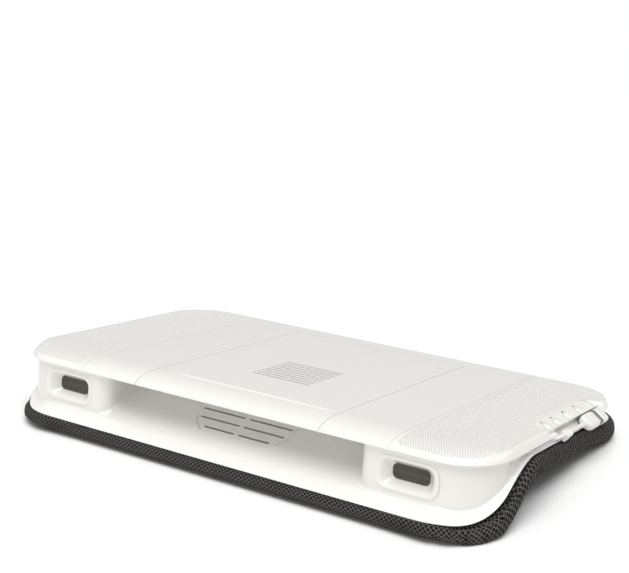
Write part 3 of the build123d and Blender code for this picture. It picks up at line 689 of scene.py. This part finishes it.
# ---- the exhaust vent ----

APRON_ANGLE = atan2(APRON_TOP[1] - APRON_FOOT[1], APRON_FOOT[0] - APRON_TOP[0])
VENT_MIDDLE = 111.6                          # how far back its middle is
VENT_ROWS = ((48.0, 9.2), (45.0, -0.5), (35.0, -10.2))
VENT_GAP, VENT_SLOT = 4.0, 1.9


def on_apron(u, v, w):
    """A point given across, up and out of the steep part of the apron."""
    z_middle = APRON_TOP[1] - (VENT_MIDDLE - APRON_TOP[0]) * tan(APRON_ANGLE)
    back = w * sin(APRON_ANGLE) - v * cos(APRON_ANGLE)
    rise = v * sin(APRON_ANGLE) + w * cos(APRON_ANGLE)
    return (u, VENT_MIDDLE + back, z_middle + rise)


def vent_outline(grow):
    corners = [(52 + grow, 15.2 + grow, 2.0), (47.5 + grow, -4, 10.0), (36 + grow * 0.6, -15.0 - grow, 10.0)]
    return rounded(corners + [(-x, y, r) for x, y, r in reversed(corners)])


def build_vent():
    """The vent insert: a plate with six slots, standing a hair proud of the apron."""
    plate = prism("rear_vent_plate", vent_outline(0.0), -1.6, 0.35, on_apron)
    slots = []
    for half, v in VENT_ROWS:
        for sign in (-1, 1):
            length = half - VENT_GAP / 2
            middle = sign * (half + VENT_GAP / 2) / 2
            loop = [(middle + a, v + b) for a, b in rounded_loop(length, VENT_SLOT, VENT_SLOT / 2)]
            slots.append(prism("slot", loop, -4, 4, on_apron))
    combine(plate, slots)
    bevel(plate, 0.22)
    finish_piece(plate, "white_shell", "housing", 40, ("rear_vent_grille",))


# ---- the sound ports ----

PORT_DEPTH = 8.4


def build_port(sign):
    """A bezel that funnels in from a low rounded edge, and the grained insert behind it."""
    # rings of the edge: how much less than the port's width, height and radius; distance out of the wall
    edge = [(3.4, 3.4, 0.0, -1.5), (3.4, 3.4, 0.0, 0.0), (0.0, 0.0, 0.0, 0.02), (0.0, 0.0, 0.0, 0.3),
            (0.4, 0.4, 0.2, 0.45), (1.4, 1.4, 0.6, 0.5), (5.0, 3.6, 1.4, 0.4), (8.0, 5.4, 1.8, -0.1),
            (11.0, 7.4, 2.4, -1.5)]
    loops = [(PORT_W - w, PORT_H - h, PORT_R - r, out) for w, h, r, out in edge]
    # rings of the funnel, then of its back: width, height, corner radius, distance out of the wall
    loops += [(43.0, 18.5, 7.0, -3.6), (38.0, 15.4, 6.0, -6.2), (35.0, 13.6, 5.2, -7.8),
              (34.0, 13.0, 4.8, -PORT_DEPTH), (36.0, 15.0, 5.6, -PORT_DEPTH - 0.6), (42.0, 19.5, 7.4, -6.0),
              (PORT_W - 6.5, PORT_H - 6.5, PORT_R - 1.5, -1.6)]
    verts = []
    for width, height, radius, out in loops:
        loop = rounded_loop(width, height, radius)
        verts += [(sign * PORT_X + u, WALL[2] + out, PORT_Z + v) for u, v in loop]
    side = "right" if sign > 0 else "left"
    bezel = raw_object(side + "_port_funnel", verts, strip_faces(len(loops), len(loop), True))
    finish_piece(bezel, "white_shell", "housing", 50, (side + "_port_bezel",))
    loop = [(sign * PORT_X + u, PORT_Z + v) for u, v in rounded_loop(38.0, 17.0, 6.0)]
    insert = prism(side + "_port_cloth", loop, WALL[2] - PORT_DEPTH - 2.4, WALL[2] - PORT_DEPTH - 0.4,
                   lambda u, v, w: (u, w, v))
    finish_piece(insert, "port_cloth", "housing", 40, (side + "_port_mesh",))


# ---- the control strip, the cable and the plug ----

BUTTON_SPOTS = {"volume_up": ("volume_up_button", 40.0, 4.6),
                "volume_down": ("volume_down_button", 20.0, 4.6),
                "mute": ("mute_button", -6.0, 5.6),
                "fan_switch": ("fan_button", -30.0, 4.6)}
BUTTON_U, LENS_U = 0.8, 8.2
DISH, DISH_FLOOR = 1.9, -0.35                # how much wider than its button a dish is, and its height
BUTTON_CLEAR, LENS_HOLE = 0.25, 1.15         # gap round a cap, radius of a light's hole
CAP_FOOT = -2.0


def circle(u, v, radius, steps=40):
    turns = [2 * pi * k / steps for k in range(steps)]
    return [(u + radius * cos(a), v + radius * sin(a)) for a in turns]


def build_strip():
    """The bezel on the sloped edge: dished round each button, with a hole for each light."""
    plate = prism("control_bezel", rounded_loop(*STRIP_PLATE), -1.5, 0.25, on_strip)
    tools = []
    for _, v, radius in BUTTON_SPOTS.values():
        tools.append(prism("dish", circle(BUTTON_U, v, radius + DISH), DISH_FLOOR, 4, on_strip))
        tools.append(prism("hole", circle(BUTTON_U, v, radius + BUTTON_CLEAR), -4, 4, on_strip))
        tools.append(prism("light", circle(LENS_U, v, LENS_HOLE, 16), -4, 4, on_strip))
    tools.append(plug_space())
    combine(plate, tools)
    bevel(plate, 0.2)
    finish_piece(plate, "white_shell", "housing", 40, ("control_strip",))


def lathe(name, profile, spot, u=0.0, v=0.0, steps=48):
    """A closed turned form from (radius, height) pairs that start and end on the axis."""
    verts = []
    for radius, height in profile:
        verts += [spot(a, b, height) for a, b in circle(u, v, radius, steps)]
    return raw_object(name, verts, strip_faces(len(profile), steps))


def build_buttons():
    """Domed caps with a fine ring pressed into the top."""
    for body, (node, v, radius) in BUTTON_SPOTS.items():
        profile = [(0.0, CAP_FOOT), (radius, CAP_FOOT), (radius, 0.25), (radius - 0.12, 0.5),
                   (radius - 0.45, 0.7), (radius - 1.1, 0.78), (radius - 1.3, 0.6), (radius - 1.55, 0.6),
                   (radius - 1.75, 0.8), (radius * 0.35, 0.95), (0.0, 1.0)]
        cap = lathe(node + "_cap", profile, on_strip, BUTTON_U, v)
        finish_piece(cap, "button_white", body, 40, (node,))


def loft(name, sections, spot):
    """A closed form through rounded rectangles given as (along, width, height, radius)."""
    verts = []
    for along, width, height, radius in sections:
        loop = rounded_loop(width, height, radius)
        verts += [spot(u, along, w) for u, w in loop]
    return capped(name, verts, len(loop))


def build_plug():
    """The moulded plug with a ribbed strain relief, its dock and the cable clip."""
    sections = [(20.0, 3.4, 3.4, 1.7)]
    for k in range(4):
        start = 19.4 - 2.0 * k
        size = 3.9 + 0.42 * k
        neck = size - 0.8
        sections += [(start, size, size, size / 2), (start - 1.1, size, size, size / 2),
                     (start - 1.3, neck, neck, size / 2 - 0.4), (start - 1.8, neck, neck, size / 2 - 0.4)]
    sections += [(11.4, 6.2, 5.6, 2.8), (11.0, 8.0, 6.2, 3.0), (10.2, 10.6, 6.9, 3.2), (8.8, 13.0, 7.5, 3.4),
                 (6.6, 14.5, 7.9, 3.5), (4.0, 15.0, 8.0, 3.5), (-8.0, 15.0, 8.0, 3.5), (-9.8, 14.8, 7.8, 3.4),
                 (-10.7, 14.2, 7.2, 3.1), (-11.0, 13.2, 6.4, 2.8)]
    body = loft("usb_plug_moulding", sections, on_plug)
    finish_piece(body, "cable_white", "plug", 45, ("usb_plug_body",))

    mouth_w, mouth_h = 12.8, 5.2
    dock = loft("plug_dock_cover", [(-24.5, mouth_w, mouth_h, 1.0), (-18.7, mouth_w, mouth_h, 1.0),
                                    (-18.5, mouth_w + 0.6, mouth_h + 0.6, 1.2), (-18.5, 14.2, 7.2, 2.6),
                                    (-18.9, 15.0, 8.0, 3.0), (-27.0, 15.0, 8.0, 3.0), (-29.6, 14.2, 7.4, 3.0),
                                    (-31.0, 12.2, 6.0, 2.6), (-31.5, 9.0, 4.4, 2.0)], on_plug)
    finish_piece(dock, "white_shell", "housing", 40, ("plug_dock",))

    clip_y = 51.0
    loops = [(7.6, 12.6, 3.2, -4.5), (8.0, 13.0, 3.5, -4.0), (8.0, 13.0, 3.5, 1.8), (7.7, 12.7, 3.4, 2.4),
             (7.0, 12.0, 3.1, 2.75), (6.2, 11.2, 2.8, 2.7), (5.6, 10.6, 2.6, 2.2), (5.2, 10.2, 2.4, 1.9)]
    verts = []
    for width, length, radius, out in loops:
        loop = rounded_loop(width, length, radius)
        verts += [on_plug(u, clip_y + v, out) for u, v in loop]
    clip = capped("cable_clip_cover", verts, len(loop))
    finish_piece(clip, "white_shell", "housing", 40, ("cable_clip",))


def cable_centre(t):
    """The cable's middle line: out of the casing, along the edge, then over to the plug."""
    x, z, start, bend = -247.9, -10.05, 66.0, 6.0
    if t < 0.1:
        return (mix(-232, x + bend, t / 0.1), start, z)
    if t < 0.2:
        a = pi / 2 * (t - 0.1) / 0.1
        return (x + bend - bend * sin(a), start - bend + bend * cos(a), z)
    if t < 0.5:
        return (x, mix(start - bend, 22, (t - 0.2) / 0.3), z)
    if t < 0.75:
        s = (t - 0.5) / 0.25
        return (mix(x, PLUG_PLACE[0], smooth(s)), mix(22, 6.5, s), mix(z, PLUG_PLACE[2], smooth(s)))
    return (PLUG_PLACE[0], mix(6.5, -33.5, (t - 0.75) / 0.25), PLUG_PLACE[2])


def build_cable():
    """One cable, swept as a tube: out of the casing, along the edge, then over to the plug."""
    steps, sides, radius = 120, 14, 1.4
    verts = []
    for i in range(steps + 1):
        t = i / steps
        here = Vector(cable_centre(t))
        ahead = Vector(cable_centre(min(t + 0.004, 1.0)))
        behind = Vector(cable_centre(max(t - 0.004, 0.0)))
        along = (ahead - behind).normalized()
        side = along.cross(Vector((0, 0, 1))).normalized()
        up = side.cross(along)
        for k in range(sides):
            a = 2 * pi * k / sides
            verts.append(tuple(here + (side * cos(a) + up * sin(a)) * radius))
    cable = capped("usb_cable_run", verts, sides)
    cable.data.materials.append(FINISHES["cable_white"])
    shade(cable, 60)
    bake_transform(cable)
    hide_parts("usb_cable")


def build_trough():
    """The floor and side of the channel under the plug, so that the cut edge of the deck has a lining."""
    verts = []
    profile = [(8.2, 3.0), (8.2, -4.6), (0.4, -4.6), (0.4, -5.6), (9.2, -5.6), (9.2, 3.0)]
    for along in (-33.8, 59.8):
        verts += [on_plug(u, along, w) for u, w in profile]
    trough = capped("plug_channel", verts, len(profile))
    finish_piece(trough, "white_shell", "housing", 40)


# ---- the cushion ----

RIM_TUCK = 16.0                              # how far the cushion's top goes in under the flange
S_FOOT, S_FOOT_END = 38.0, 146.0
FRONT_BOTTOM = -33.0
TRAY_FRONT_Z, TRAY_REAR_Z, TRAY_START, TRAY_OVER = -24.0, -51.0, 58.0, 62.0
# the side's profile from top to bottom: how far in from the outline, share of the height
CUSHION_SIDE = ((RIM_TUCK, 0.0), (9.0, 0.0), (5.4, 0.0), (2.2, 0.07), (0.2, 0.2), (-0.9, 0.38), (-1.5, 0.58),
                (-1.7, 0.78), (-1.2, 0.92), (0.6, 1.02), (4.0, 1.04), (10.0, 1.02))
NET_COLUMNS, NET_ROWS = 356, 10              # diamonds round the cushion and down its side
NET_HOLE = 0.72                              # size of a hole against its diamond
NET_LIFT, NET_DEPTH = 0.6, 0.6               # threads above the cloth, depth of the holes' walls
PATTERN_PITCH = 0.0033
THREAD_UV = (PATTERN_PITCH * 0.3536, -PATTERN_PITCH * 0.3536)
SHADED_HOLE_UV = (0.0, 0.0)                         # places in the cloth's pattern on a thread and in a hole; a hole's near-black colour is painted shade
RIM_CLEAR = 3.5                              # how far past the flange it stays below it
VOXEL = 0.0042
CAP = 0.006                                  # how far the blown-up cloth may move


def cushion_top(x, y, nx, ny):
    """Height of the flange's underside at the edge nearest to a point of the cushion's outline."""
    away = reach(FLANGE, x, y, nx, ny)
    return flange_z(y + ny * away) - FLANGE_EDGE - 0.3


def cushion_bottom(y):
    low = mix(FRONT_BOTTOM, table_z(S_FOOT_END), smooth((y - S_FOOT) / (S_FOOT_END - S_FOOT)))
    return max(low, table_z(y)) + 0.4


def tray_bottom(y):
    """Just below the base plate, where the cushion's hidden top lies."""
    return mix(TRAY_FRONT_Z, TRAY_REAR_Z, smooth((y - TRAY_START) / TRAY_OVER))


def cushion_start():
    """The cushion before it is blown up: closed rings from its hidden top round to its underside."""
    around = outline(CUSHION, 8.0, 14)
    depth = (CUSHION[2] - CUSHION[1]) / 2
    rings = [("tray", inward, 0.0) for inward in (depth - 2, 120, 90, 60, 40, 24, 18)]
    rings += [("side", inward, share) for inward, share in CUSHION_SIDE]
    rings += [("under", inward, 0.0) for inward in (24, 42, 66, 95, 125, depth - 2)]
    verts = []
    for kind, inward, share in rings:
        for x, y, nx, ny in around:
            px, py = inset(x, y, nx, ny, inward)
            if kind == "side":
                z = mix(cushion_top(x, y, nx, ny), cushion_bottom(y), share)
            elif kind == "tray":
                z = tray_bottom(py)
            else:
                z = cushion_bottom(py)
            verts.append((px, py, z))
    return capped("seat_cushion_body", verts, len(around))


def inset(x, y, nx, ny, inward):
    """A point of the cushion's outline moved inward, so that rings of them never cross."""
    half, front, rear, radius = CUSHION
    if inward < radius * 0.6:
        return x - nx * inward, y - ny * inward
    depth = (rear - front) / 2
    cx = (half - depth) * (1 if x > 0 else -1) * min(1.0, abs(x) / half)
    return mix(x, cx, inward / depth), mix(y, (front + rear) / 2, inward / depth)


def blow_up(obj):
    """Pressure swells a remeshed copy, and no point moves further than the cap."""
    remesh = obj.modifiers.new("remesh", "REMESH")
    remesh.mode = "VOXEL"
    remesh.voxel_size = VOXEL
    apply_modifiers(obj)
    rest = [v.co.copy() for v in obj.data.vertices]
    cloth = obj.modifiers.new("cloth", "CLOTH")
    cloth.settings.use_pressure = True
    cloth.settings.uniform_pressure_force = 4.0
    cloth.settings.effector_weights.gravity = 0.0
    cloth.settings.tension_stiffness = 12
    cloth.settings.compression_stiffness = 12
    cloth.settings.bending_stiffness = 0.6
    cloth.point_cache.frame_end = 20
    scene = bpy.context.scene
    for number in range(1, 21):
        scene.frame_set(number)
    apply_modifiers(obj)
    scene.frame_set(1)
    for vertex, start in zip(obj.data.vertices, rest):
        move = vertex.co - start
        if move.length > CAP:
            move *= CAP / move.length
        vertex.co = start + move


def settle(obj):
    """Keeps the blown-up cushion on the table, under the flange and off the tray."""
    for vertex in obj.data.vertices:
        x, y, z = in_deck(vertex.co)
        past = outside(FLANGE, x, y)
        if past < RIM_CLEAR:
            z = min(z, flange_z(y) - FLANGE_EDGE - 0.3)
        if past < -RIM_TUCK - 2:
            z = min(z, tray_bottom(y))
        point = place(x, y, z)
        point.z = max(point.z, 0.0002)
        vertex.co = point


def map_cloth(obj):
    """The cloth's pattern in metres: flat underneath; on the side, where the net lies over it, all in the
    holes' near-black colour, painted shade under the net.
    """
    layer = obj.data.uv_layers.new(name="cloth")
    for polygon in obj.data.polygons:
        x, y, _ = in_deck(polygon.center)
        under = outside(CUSHION, x, y) < -8.0
        for loop in polygon.loop_indices:
            x, y, _ = in_deck(obj.data.vertices[obj.data.loops[loop].vertex_index].co)
            # on the side the cloth takes the hole colour: painted shade under the net
            layer.data[loop].uv = (x / 1000, y / 1000) if under else SHADED_HOLE_UV


def evenly(points, count):
    """Points spaced evenly along a closed outline, with their normals."""
    ends = points[1:] + points[:1]
    lengths = [hypot(b[0] - a[0], b[1] - a[1]) for a, b in zip(points, ends)]
    gap = sum(lengths) / count
    made, walked, place_next = [], 0.0, 0.0
    for a, b, length in zip(points, ends, lengths):
        while place_next < walked + length - 1e-9 and len(made) < count:
            t = (place_next - walked) / length
            made.append(tuple(mix(p, q, t) for p, q in zip(a, b)))
            place_next += gap
        walked += length
    return made


def side_point(base, depth):
    """A point on the cushion's side at an outline point; depth runs from 0 at the flange to 1 below."""
    x, y, nx, ny = base
    top, low = cushion_top(x, y, nx, ny), cushion_bottom(y)
    profile = CUSHION_SIDE[1:]
    steps = [hypot(b[0] - a[0], (b[1] - a[1]) * (top - low)) for a, b in zip(profile, profile[1:])]
    left = min(max(depth, 0.0), 1.0) * sum(steps)
    k = 0
    while k < len(steps) - 1 and left > steps[k]:
        left -= steps[k]
        k += 1
    inward = mix(profile[k][0], profile[k + 1][0], left / steps[k])
    share = mix(profile[k][1], profile[k + 1][1], left / steps[k])
    return (x - nx * inward, y - ny * inward, mix(top, low, share))


def build_net(cushion):
    """The open net over the cushion's side: diamonds of thread with holes, laid on the cloth."""
    surface = BVHTree.FromObject(cushion, bpy.context.evaluated_depsgraph_get())
    ring = evenly(outline(CUSHION, 4.0, 30), 2 * NET_COLUMNS)
    verts, faces, spots, known = [], [], [], {}

    def lay(column, row, lift, spot):
        """A vertex at a place of the net, in half diamonds, held just off the cloth."""
        low = int(column // 1)
        a, b = ring[low % len(ring)], ring[(low + 1) % len(ring)]
        base = tuple(mix(p, q, column - low) for p, q in zip(a, b))
        point = place(*side_point(base, row / (NET_ROWS + 1)))
        near, normal, _, _ = surface.find_nearest(point)
        ends = min(row, NET_ROWS + 1 - row)
        verts.append(near + normal * (lift if ends > 0.7 else -0.6) / 1000)
        spots.append(spot)
        return len(verts) - 1

    def corner(column, row):
        key = (column % len(ring), row)
        if key not in known:
            known[key] = lay(column, row, NET_LIFT, THREAD_UV)
        return known[key]

    for row in range(1, NET_ROWS + 1):
        for column in range(row % 2, 2 * NET_COLUMNS, 2):
            arms = ((1, 0), (0, 1), (-1, 0), (0, -1))
            hole = [(column + a * NET_HOLE, row + b * NET_HOLE) for a, b in arms]
            outer = [corner(column + a, row + b) for a, b in arms]
            inner = [lay(across, down, NET_LIFT, THREAD_UV) for across, down in hole]
            # the holes' walls darken from the thread's colour to near black going down: painted shade
            deep = [lay(across, down, NET_LIFT - NET_DEPTH, SHADED_HOLE_UV) for across, down in hole]
            for k in range(4):
                n = (k + 1) % 4
                faces.append((outer[k], outer[n], inner[n], inner[k]))
                faces.append((inner[k], inner[n], deep[n], deep[k]))
    mesh = bpy.data.meshes.new("cushion_net")
    mesh.from_pydata([tuple(v) for v in verts], [], faces)
    layer = mesh.uv_layers.new(name="cloth")
    for polygon in mesh.polygons:
        for loop in polygon.loop_indices:
            layer.data[loop].uv = spots[mesh.loops[loop].vertex_index]
    finish_piece(linked("cushion_net", mesh), "air_mesh", "housing", 60)


def build_cushion():
    """The soft seat: cloth blown up from a closed body, then smoothed once."""
    obj = cushion_start()
    blow_up(obj)
    settle(obj)
    smooth_out = obj.modifiers.new("smooth", "SMOOTH")
    smooth_out.factor = 0.5
    smooth_out.iterations = 1
    divide = obj.modifiers.new("divide", "SUBSURF")
    divide.levels = 1
    apply_modifiers(obj)
    settle(obj)
    map_cloth(obj)
    finish_piece(obj, "air_mesh", "housing", 80, ("seat_cushion",))
    build_net(obj)


# ---- finishes ----

GRAIN_DEPTH = 0.0003                         # metres


def shader_node(material, kind, values, **settings):
    """A new node with its settings and then its inputs given."""
    node = material.node_tree.nodes.new("ShaderNode" + kind)
    for name, value in settings.items():
        setattr(node, name, value)
    for name, value in values.items():
        node.inputs[name].default_value = value
    return node


def finish(name, colour, rough, metal=0.0, coat=0.0, shade_change=0.06, scale=90.0, bump=0.0,
           stretch=(1, 1, 1)):
    """A material with fine procedural changes of tone and roughness, and a fine surface grain."""
    material = bpy.data.materials.new("fin_" + name)
    material.use_nodes = True
    links = material.node_tree.links
    shader = material.node_tree.nodes["Principled BSDF"]
    shader.inputs["Metallic"].default_value = metal
    shader.inputs["Coat Weight"].default_value = coat
    shader.inputs["Coat Roughness"].default_value = 0.08
    source = shader_node(material, "TexCoord", {})
    mapping = shader_node(material, "Mapping", {"Scale": stretch})
    links.new(source.outputs["Object"], mapping.inputs["Vector"])
    noise = shader_node(material, "TexNoise", {"Scale": scale, "Detail": 4.0})
    links.new(mapping.outputs["Vector"], noise.inputs["Vector"])
    dark = tuple(channel * (1 - shade_change) for channel in colour)
    tone = shader_node(material, "Mix", {"A": (*dark, 1), "B": (*colour, 1)}, data_type="RGBA")
    links.new(noise.outputs["Fac"], tone.inputs["Factor"])
    links.new(tone.outputs["Result"], shader.inputs["Base Color"])
    spread = shader_node(material, "MapRange", {"To Min": rough * 0.8, "To Max": min(rough * 1.25, 1.0)})
    links.new(noise.outputs["Fac"], spread.inputs["Value"])
    links.new(spread.outputs["Result"], shader.inputs["Roughness"])
    if bump > 0:
        grain = shader_node(material, "TexNoise", {"Scale": scale * 14})
        links.new(mapping.outputs["Vector"], grain.inputs["Vector"])
        relief = shader_node(material, "Bump", {"Strength": bump, "Distance": GRAIN_DEPTH})
        links.new(grain.outputs["Fac"], relief.inputs["Height"])
        links.new(relief.outputs["Normal"], shader.inputs["Normal"])
    return material


def woven(name, thread, gap, pitch, depth, coordinates, width=0.16):
    """A net of crossing threads with open diamonds between them, pitch in metres."""
    material = finish(name, thread, 0.75, shade_change=0.35, scale=700.0)
    links = material.node_tree.links
    shader = material.node_tree.nodes["Principled BSDF"]
    shader.inputs["Specular IOR Level"].default_value = 0.2
    source = shader_node(material, "TexCoord", {})
    turn = shader_node(material, "Mapping", {"Rotation": (0, 0, radians(45)), "Scale": (1 / pitch,) * 3})
    links.new(source.outputs[coordinates], turn.inputs["Vector"])
    cells = shader_node(material, "TexVoronoi", {}, feature="DISTANCE_TO_EDGE")
    cells.inputs["Randomness"].default_value = 0.0
    cells.inputs["Scale"].default_value = 1.0
    links.new(turn.outputs["Vector"], cells.inputs["Vector"])
    ramp = shader_node(material, "MapRange", {"From Min": width * 1.6, "From Max": width * 0.7},
                       interpolation_type="SMOOTHSTEP")
    links.new(cells.outputs["Distance"], ramp.inputs["Value"])
    old = shader.inputs["Base Color"].links[0].from_socket
    tone = shader_node(material, "Mix", {"A": (*gap, 1)}, data_type="RGBA")
    links.new(old, tone.inputs["B"])
    links.new(ramp.outputs["Result"], tone.inputs["Factor"])
    links.new(tone.outputs["Result"], shader.inputs["Base Color"])
    relief = shader_node(material, "Bump", {"Strength": 1.0, "Distance": depth})
    links.new(ramp.outputs["Result"], relief.inputs["Height"])
    links.new(relief.outputs["Normal"], shader.inputs["Normal"])
    return material


FINISHES = {
    "white_shell": finish("white_shell", (0.83, 0.82, 0.785), 0.17, coat=0.35, shade_change=0.025),
    "grille_white": finish("grille_white", (0.82, 0.81, 0.78), 0.34, shade_change=0.04, bump=0.1),
    "inner_plastic": finish("inner_plastic", (0.10, 0.10, 0.105), 0.5, bump=0.4),
    # The net's holes are near black: the dark cloth seen through them, with painted shade down in the holes.
    "air_mesh": woven("air_mesh", (0.105, 0.100, 0.097), (0.003, 0.003, 0.003), PATTERN_PITCH, 0.0009,
                      "UV", 0.14),
    "port_cloth": woven("port_cloth", (0.16, 0.148, 0.125), (0.035, 0.03, 0.024), 0.0011, 0.0002, "Object"),
    "steel": finish("steel", (0.62, 0.62, 0.63), 0.28, metal=1.0, shade_change=0.15, stretch=(1, 12, 1)),
    "brass_metal": finish("brass_metal", (0.72, 0.52, 0.22), 0.3, metal=1.0, shade_change=0.2),
    "copper_coils": finish("copper_coils", (0.74, 0.34, 0.16), 0.35, metal=1.0, shade_change=0.4,
                           scale=400, bump=0.6),
    "paper_cone": finish("paper_cone", (0.045, 0.045, 0.05), 0.9, shade_change=0.3, scale=250, bump=0.8),
    "surround_rubber": finish("surround_rubber", (0.02, 0.02, 0.021), 0.6, shade_change=0.2, bump=0.3),
    "board_green": finish("board_green", (0.02, 0.14, 0.055), 0.4, shade_change=0.35, scale=300),
    "chip_black": finish("chip_black", (0.018, 0.018, 0.02), 0.45, shade_change=0.2, bump=0.3),
    "button_white": finish("button_white", (0.84, 0.835, 0.82), 0.28, shade_change=0.02, bump=0.05),
    "lens_dark": finish("lens_dark", (0.02, 0.02, 0.022), 0.15, coat=0.5, shade_change=0.3),
    "cable_white": finish("cable_white", (0.80, 0.79, 0.77), 0.38, shade_change=0.03, bump=0.15),
}
for node in NODES.values():
    for slot in node.material_slots:
        slot.material = FINISHES[slot.material.name.split(".")[0]]


# ---- floor, camera and light ----

CAMERA_PLACE = (-630.5, 1001.6, 298.1)
CAMERA_TARGET = (227.7, -347.9, 0.0)
CAMERA_LENS = 74.4
FLOOR_HALF = 6.0
SURROUND, SKY, SKY_SPREAD = 0.42, 2.5, 50    # light from all round, from above, and its width in degrees
BEHIND_PLACE, BEHIND_SIZE, BEHIND_ENERGY = (0.1, 1.8, 0.32), 1.3, 6


def aimed(name, data, location, target):
    """An object put at a place and turned so that it looks at another."""
    obj = linked(name, data)
    obj.location = location
    obj.rotation_euler = (Vector(target) - Vector(location)).to_track_quat("-Z", "Y").to_euler()
    return obj


def build_floor():
    """A plain pale floor and the camera."""
    mesh = bpy.data.meshes.new("floor")
    half = FLOOR_HALF
    corners = [(-half, -half, 0), (half, -half, 0), (half, half, 0), (-half, half, 0)]
    mesh.from_pydata(corners, [], [(0, 1, 2, 3)])
    floor = linked("floor", mesh)
    mesh.materials.append(finish("floor", (0.90, 0.90, 0.895), 0.7, shade_change=0.01))
    lens = bpy.data.cameras.new("camera")
    lens.lens = CAMERA_LENS
    bpy.context.scene.camera = aimed("camera", lens, place(*CAMERA_PLACE), place(*CAMERA_TARGET))


def build_lights():
    """A white surround, a wide light from above and a softbox behind the object."""
    world = bpy.data.worlds.new("world")
    bpy.context.scene.world = world
    world.use_nodes = True
    surround = world.node_tree.nodes["Background"]
    surround.inputs["Color"].default_value = (1, 1, 1, 1)
    seen = world.node_tree.nodes.new("ShaderNodeLightPath")
    strength = world.node_tree.nodes.new("ShaderNodeMapRange")
    strength.inputs["To Min"].default_value = SURROUND
    strength.inputs["To Max"].default_value = 1.0
    world.node_tree.links.new(seen.outputs["Is Camera Ray"], strength.inputs["Value"])
    world.node_tree.links.new(strength.outputs["Result"], surround.inputs["Strength"])
    bpy.context.scene.view_settings.view_transform = "Standard"
    sky = bpy.data.lights.new("above", "SUN")
    sky.energy = SKY
    sky.angle = radians(SKY_SPREAD)
    aimed("above", sky, (-0.3, 0.3, 2.0), (0, -0.1, 0))
    softbox = bpy.data.lights.new("behind", "AREA")
    softbox.energy = BEHIND_ENERGY
    softbox.size = BEHIND_SIZE
    aimed("behind", softbox, BEHIND_PLACE, (0, 0.0, 0.03))


build_deck()
for wing in (1, -1):
    build_grille(wing)
    build_port(wing)
build_casing()
build_vent()
build_strip()
build_buttons()
build_plug()
build_cable()
build_trough()
build_cushion()
build_floor()
build_lights()
